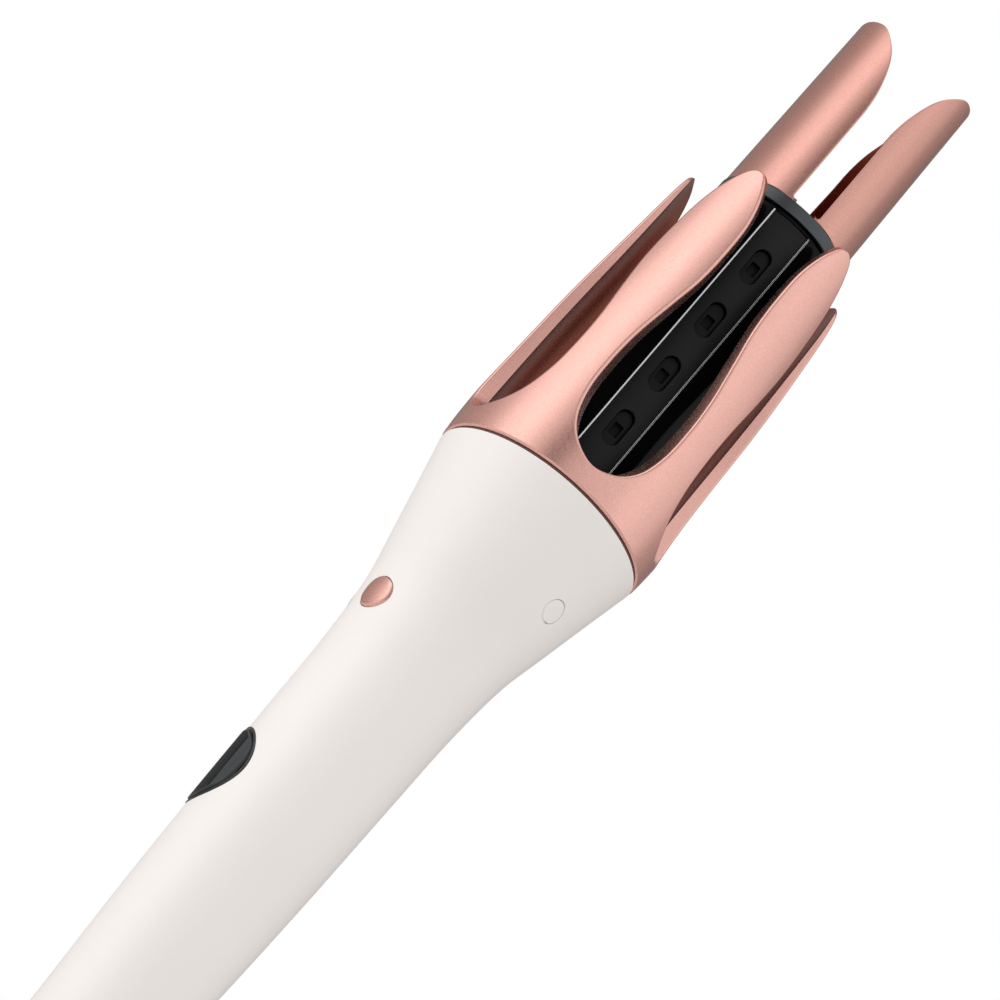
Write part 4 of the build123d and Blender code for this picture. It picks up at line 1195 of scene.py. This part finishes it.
def build_rings():
    """Gasket in the seam, end cap and cord swivel, all turned."""
    low = HANDLE_LOW - 1.5
    turned = [
        ("seam_gasket", "seam_ring", "handle", "dark_gasket", [
            (25.3, -0.25, 0.08), (27.0, -0.25, 0.12), (27.0, 0.25, 0.12), (25.3, 0.25, 0.08),
        ]),
        ("handle_end_cap", "end_cap", "handle", "handle_white", [
            (6.5, low, 0.3), (13.2, low, 1.0), (13.2, low + 1.5, 0.15),
            (11.15, low + 1.5, 0.1), (11.15, low + 7, 0.3), (6.5, low + 7, 0.3),
        ]),
        ("swivel_bush", "cord_swivel", "swivel", "grey_plastic", [
            (3.3, low + 0.6, 0.7), (6.45, low + 0.6, 0.4), (6.45, low + 7.3, 0.15),
            (8.2, low + 7.3, 0.2), (8.2, low + 9, 0.3), (3.3, low + 9, 0.4),
        ]),
    ]
    for name, node, body, slot, outline in turned:
        bm = new_mesh()
        lathe(bm, outline, 144)
        settle(name, bm, body, slot, [node])


PAD = plain(
    "rocker_pad", (0.034, 0.0385, 0.041), 0.0006, 0.000004, 0.36, specular_ior_level=0.3
)
build_button("power_button", -1)
build_button("heat_button", 1)
build_rocker()
build_rocker_cup()
build_screw_caps()
build_rings()


# ---------------------------------------------------------------- camera, light and floor

def direction(azimuth, elevation):
    """Unit vector from the tool towards an azimuth and elevation in degrees."""
    a, e = math.radians(azimuth), math.radians(elevation)
    return Vector((math.sin(a) * math.cos(e), -math.cos(a) * math.cos(e), math.sin(e)))


def rolled(back, roll):
    """Camera turn that looks against back, rolled about its line of sight."""
    return back.to_track_quat("Z", "Y").to_matrix() @ Matrix.Rotation(roll, 3, "Z")


def add_camera():
    """Looks up at the front from below, rolled so that the tool points to the upper right."""
    distance = 1.5
    aim = Vector((-8.04, 1.77, -2.73 + SEAM)) * MM
    back = direction(-4.66, -22.1)
    data = bpy.data.cameras.new("camera")
    data.sensor_width = 36
    data.lens = 243
    data.clip_start = 0.05
    data.clip_end = 50
    camera = bpy.data.objects.new("camera", data)
    turned = rolled(back, math.radians(40.67)).to_4x4()
    camera.matrix_world = Matrix.Translation(aim + back * distance) @ turned
    bpy.context.scene.collection.objects.link(camera)
    bpy.context.scene.camera = camera


# Brightness of the studio around the tool: azimuth from the front in degrees, and level.
# The levels are fitted to colours sampled from the photo.
STUDIO_RING = [
    (-180, 0.24), (-145, 0.42), (-116, 0.56), (-99, 0.80), (-82, 1.45), (-63, 1.70),
    (-46, 0.95), (-28, 0.24), (-11, 0.75), (8, 0.88), (34, 0.92), (60, 1.15), (88, 0.95),
    (114, 0.50), (145, 0.30), (180, 0.28),
]
# Dimmer parts of the ring are slightly warm: how much red, green and blue are lost at level 0.
WARM_BELOW = 0.9
WARM_LOSS = (0, 0.16, 0.22)
# Strength of the studio from below the tool to above it, by the height of the direction.
HEIGHT_RAMP = [("From Min", -0.45), ("From Max", 0.3), ("To Min", 0.5), ("To Max", 2.0)]


def add_world():
    """White backdrop to the camera, and a studio with soft light panels for everything else."""
    world = bpy.data.worlds.new("studio")
    world.use_nodes = True
    tree = world.node_tree
    link = tree.links.new
    split = add_node(tree, "SeparateXYZ")
    link(add_node(tree, "TexCoord").outputs["Generated"], split.inputs["Vector"])
    flip = add_node(tree, "Math", [(1, -1)], operation="MULTIPLY")
    link(split.outputs["Y"], flip.inputs[0])
    azimuth = add_node(tree, "Math", operation="ARCTAN2")
    link(split.outputs["X"], azimuth.inputs[0])
    link(flip.outputs["Value"], azimuth.inputs[1])
    share = add_node(tree, "MapRange", [("From Min", -math.pi), ("From Max", math.pi)])
    link(azimuth.outputs["Value"], share.inputs["Value"])
    ramp = add_node(tree, "ValToRGB")
    ramp.color_ramp.interpolation = "EASE"
    stops = ramp.color_ramp.elements
    while len(stops) < len(STUDIO_RING):
        stops.new(0.5)
    for stop, (angle, level) in zip(stops, STUDIO_RING):
        stop.position = (angle + 180) / 360
        warmth = max(0.0, 1 - level / WARM_BELOW)
        stop.color = (*[level / 2 * (1 - c * warmth) for c in WARM_LOSS], 1)
    link(share.outputs["Result"], ramp.inputs["Fac"])
    height = add_node(tree, "MapRange", HEIGHT_RAMP, interpolation_type="SMOOTHSTEP")
    link(split.outputs["Z"], height.inputs["Value"])
    surround = tree.nodes["Background"]
    link(ramp.outputs["Color"], surround.inputs["Color"])
    link(height.outputs["Result"], surround.inputs["Strength"])
    backdrop = add_node(tree, "Background", [("Color", (1, 1, 1, 1))])
    path = add_node(tree, "LightPath")
    mix = add_node(tree, "MixShader")
    link(path.outputs["Is Camera Ray"], mix.inputs["Fac"])
    link(surround.outputs["Background"], mix.inputs[1])
    link(backdrop.outputs["Background"], mix.inputs[2])
    link(mix.outputs["Shader"], tree.nodes["World Output"].inputs["Surface"])
    bpy.context.scene.world = world
    bpy.context.scene.view_settings.view_transform = "Standard"


def add_softbox(name, azimuth, elevation, distance, size, power):
    """Rectangular light that faces the middle of the tool and does not show in reflections."""
    out = direction(azimuth, elevation)
    data = bpy.data.lights.new(name, "AREA")
    data.shape = "RECTANGLE"
    data.size, data.size_y = size
    data.energy = power
    data.color = (1.0, 0.995, 0.985)
    light = bpy.data.objects.new(name, data)
    light.visible_glossy = False
    middle = Vector((0, 0, 0.22))
    facing = out.to_track_quat("Z", "Y").to_matrix().to_4x4()
    light.matrix_world = Matrix.Translation(middle + out * distance) @ facing
    bpy.context.scene.collection.objects.link(light)


def add_floor():
    """Plain pale floor that is seen from above only, because the camera looks up from below it."""
    mesh = bpy.data.meshes.new("floor")
    half = 6.0
    corners = [(-half, -half, 0), (half, -half, 0), (half, half, 0), (-half, half, 0)]
    mesh.from_pydata(corners, [], [(0, 1, 2, 3)])
    floor = bpy.data.objects.new("floor", mesh)
    material = bpy.data.materials.new("floor")
    material.use_nodes = True
    tree = material.node_tree
    link = tree.links.new
    main = tree.nodes["Principled BSDF"]
    main.inputs["Base Color"].default_value = (0.86, 0.855, 0.85, 1)
    main.inputs["Roughness"].default_value = 0.7
    clear = add_node(tree, "BsdfTransparent")
    mix = add_node(tree, "MixShader")
    side = add_node(tree, "NewGeometry")
    link(side.outputs["Backfacing"], mix.inputs["Fac"])
    link(main.outputs["BSDF"], mix.inputs[1])
    link(clear.outputs["BSDF"], mix.inputs[2])
    link(mix.outputs["Shader"], tree.nodes["Material Output"].inputs["Surface"])
    mesh.materials.append(material)
    bpy.context.scene.collection.objects.link(floor)


add_camera()
add_world()
add_floor()
add_softbox("key", azimuth=-90, elevation=20, distance=1.4, size=(0.9, 1.2), power=6.8)
add_softbox("fill", azimuth=10, elevation=16, distance=1.5, size=(0.9, 1.0), power=2.0)
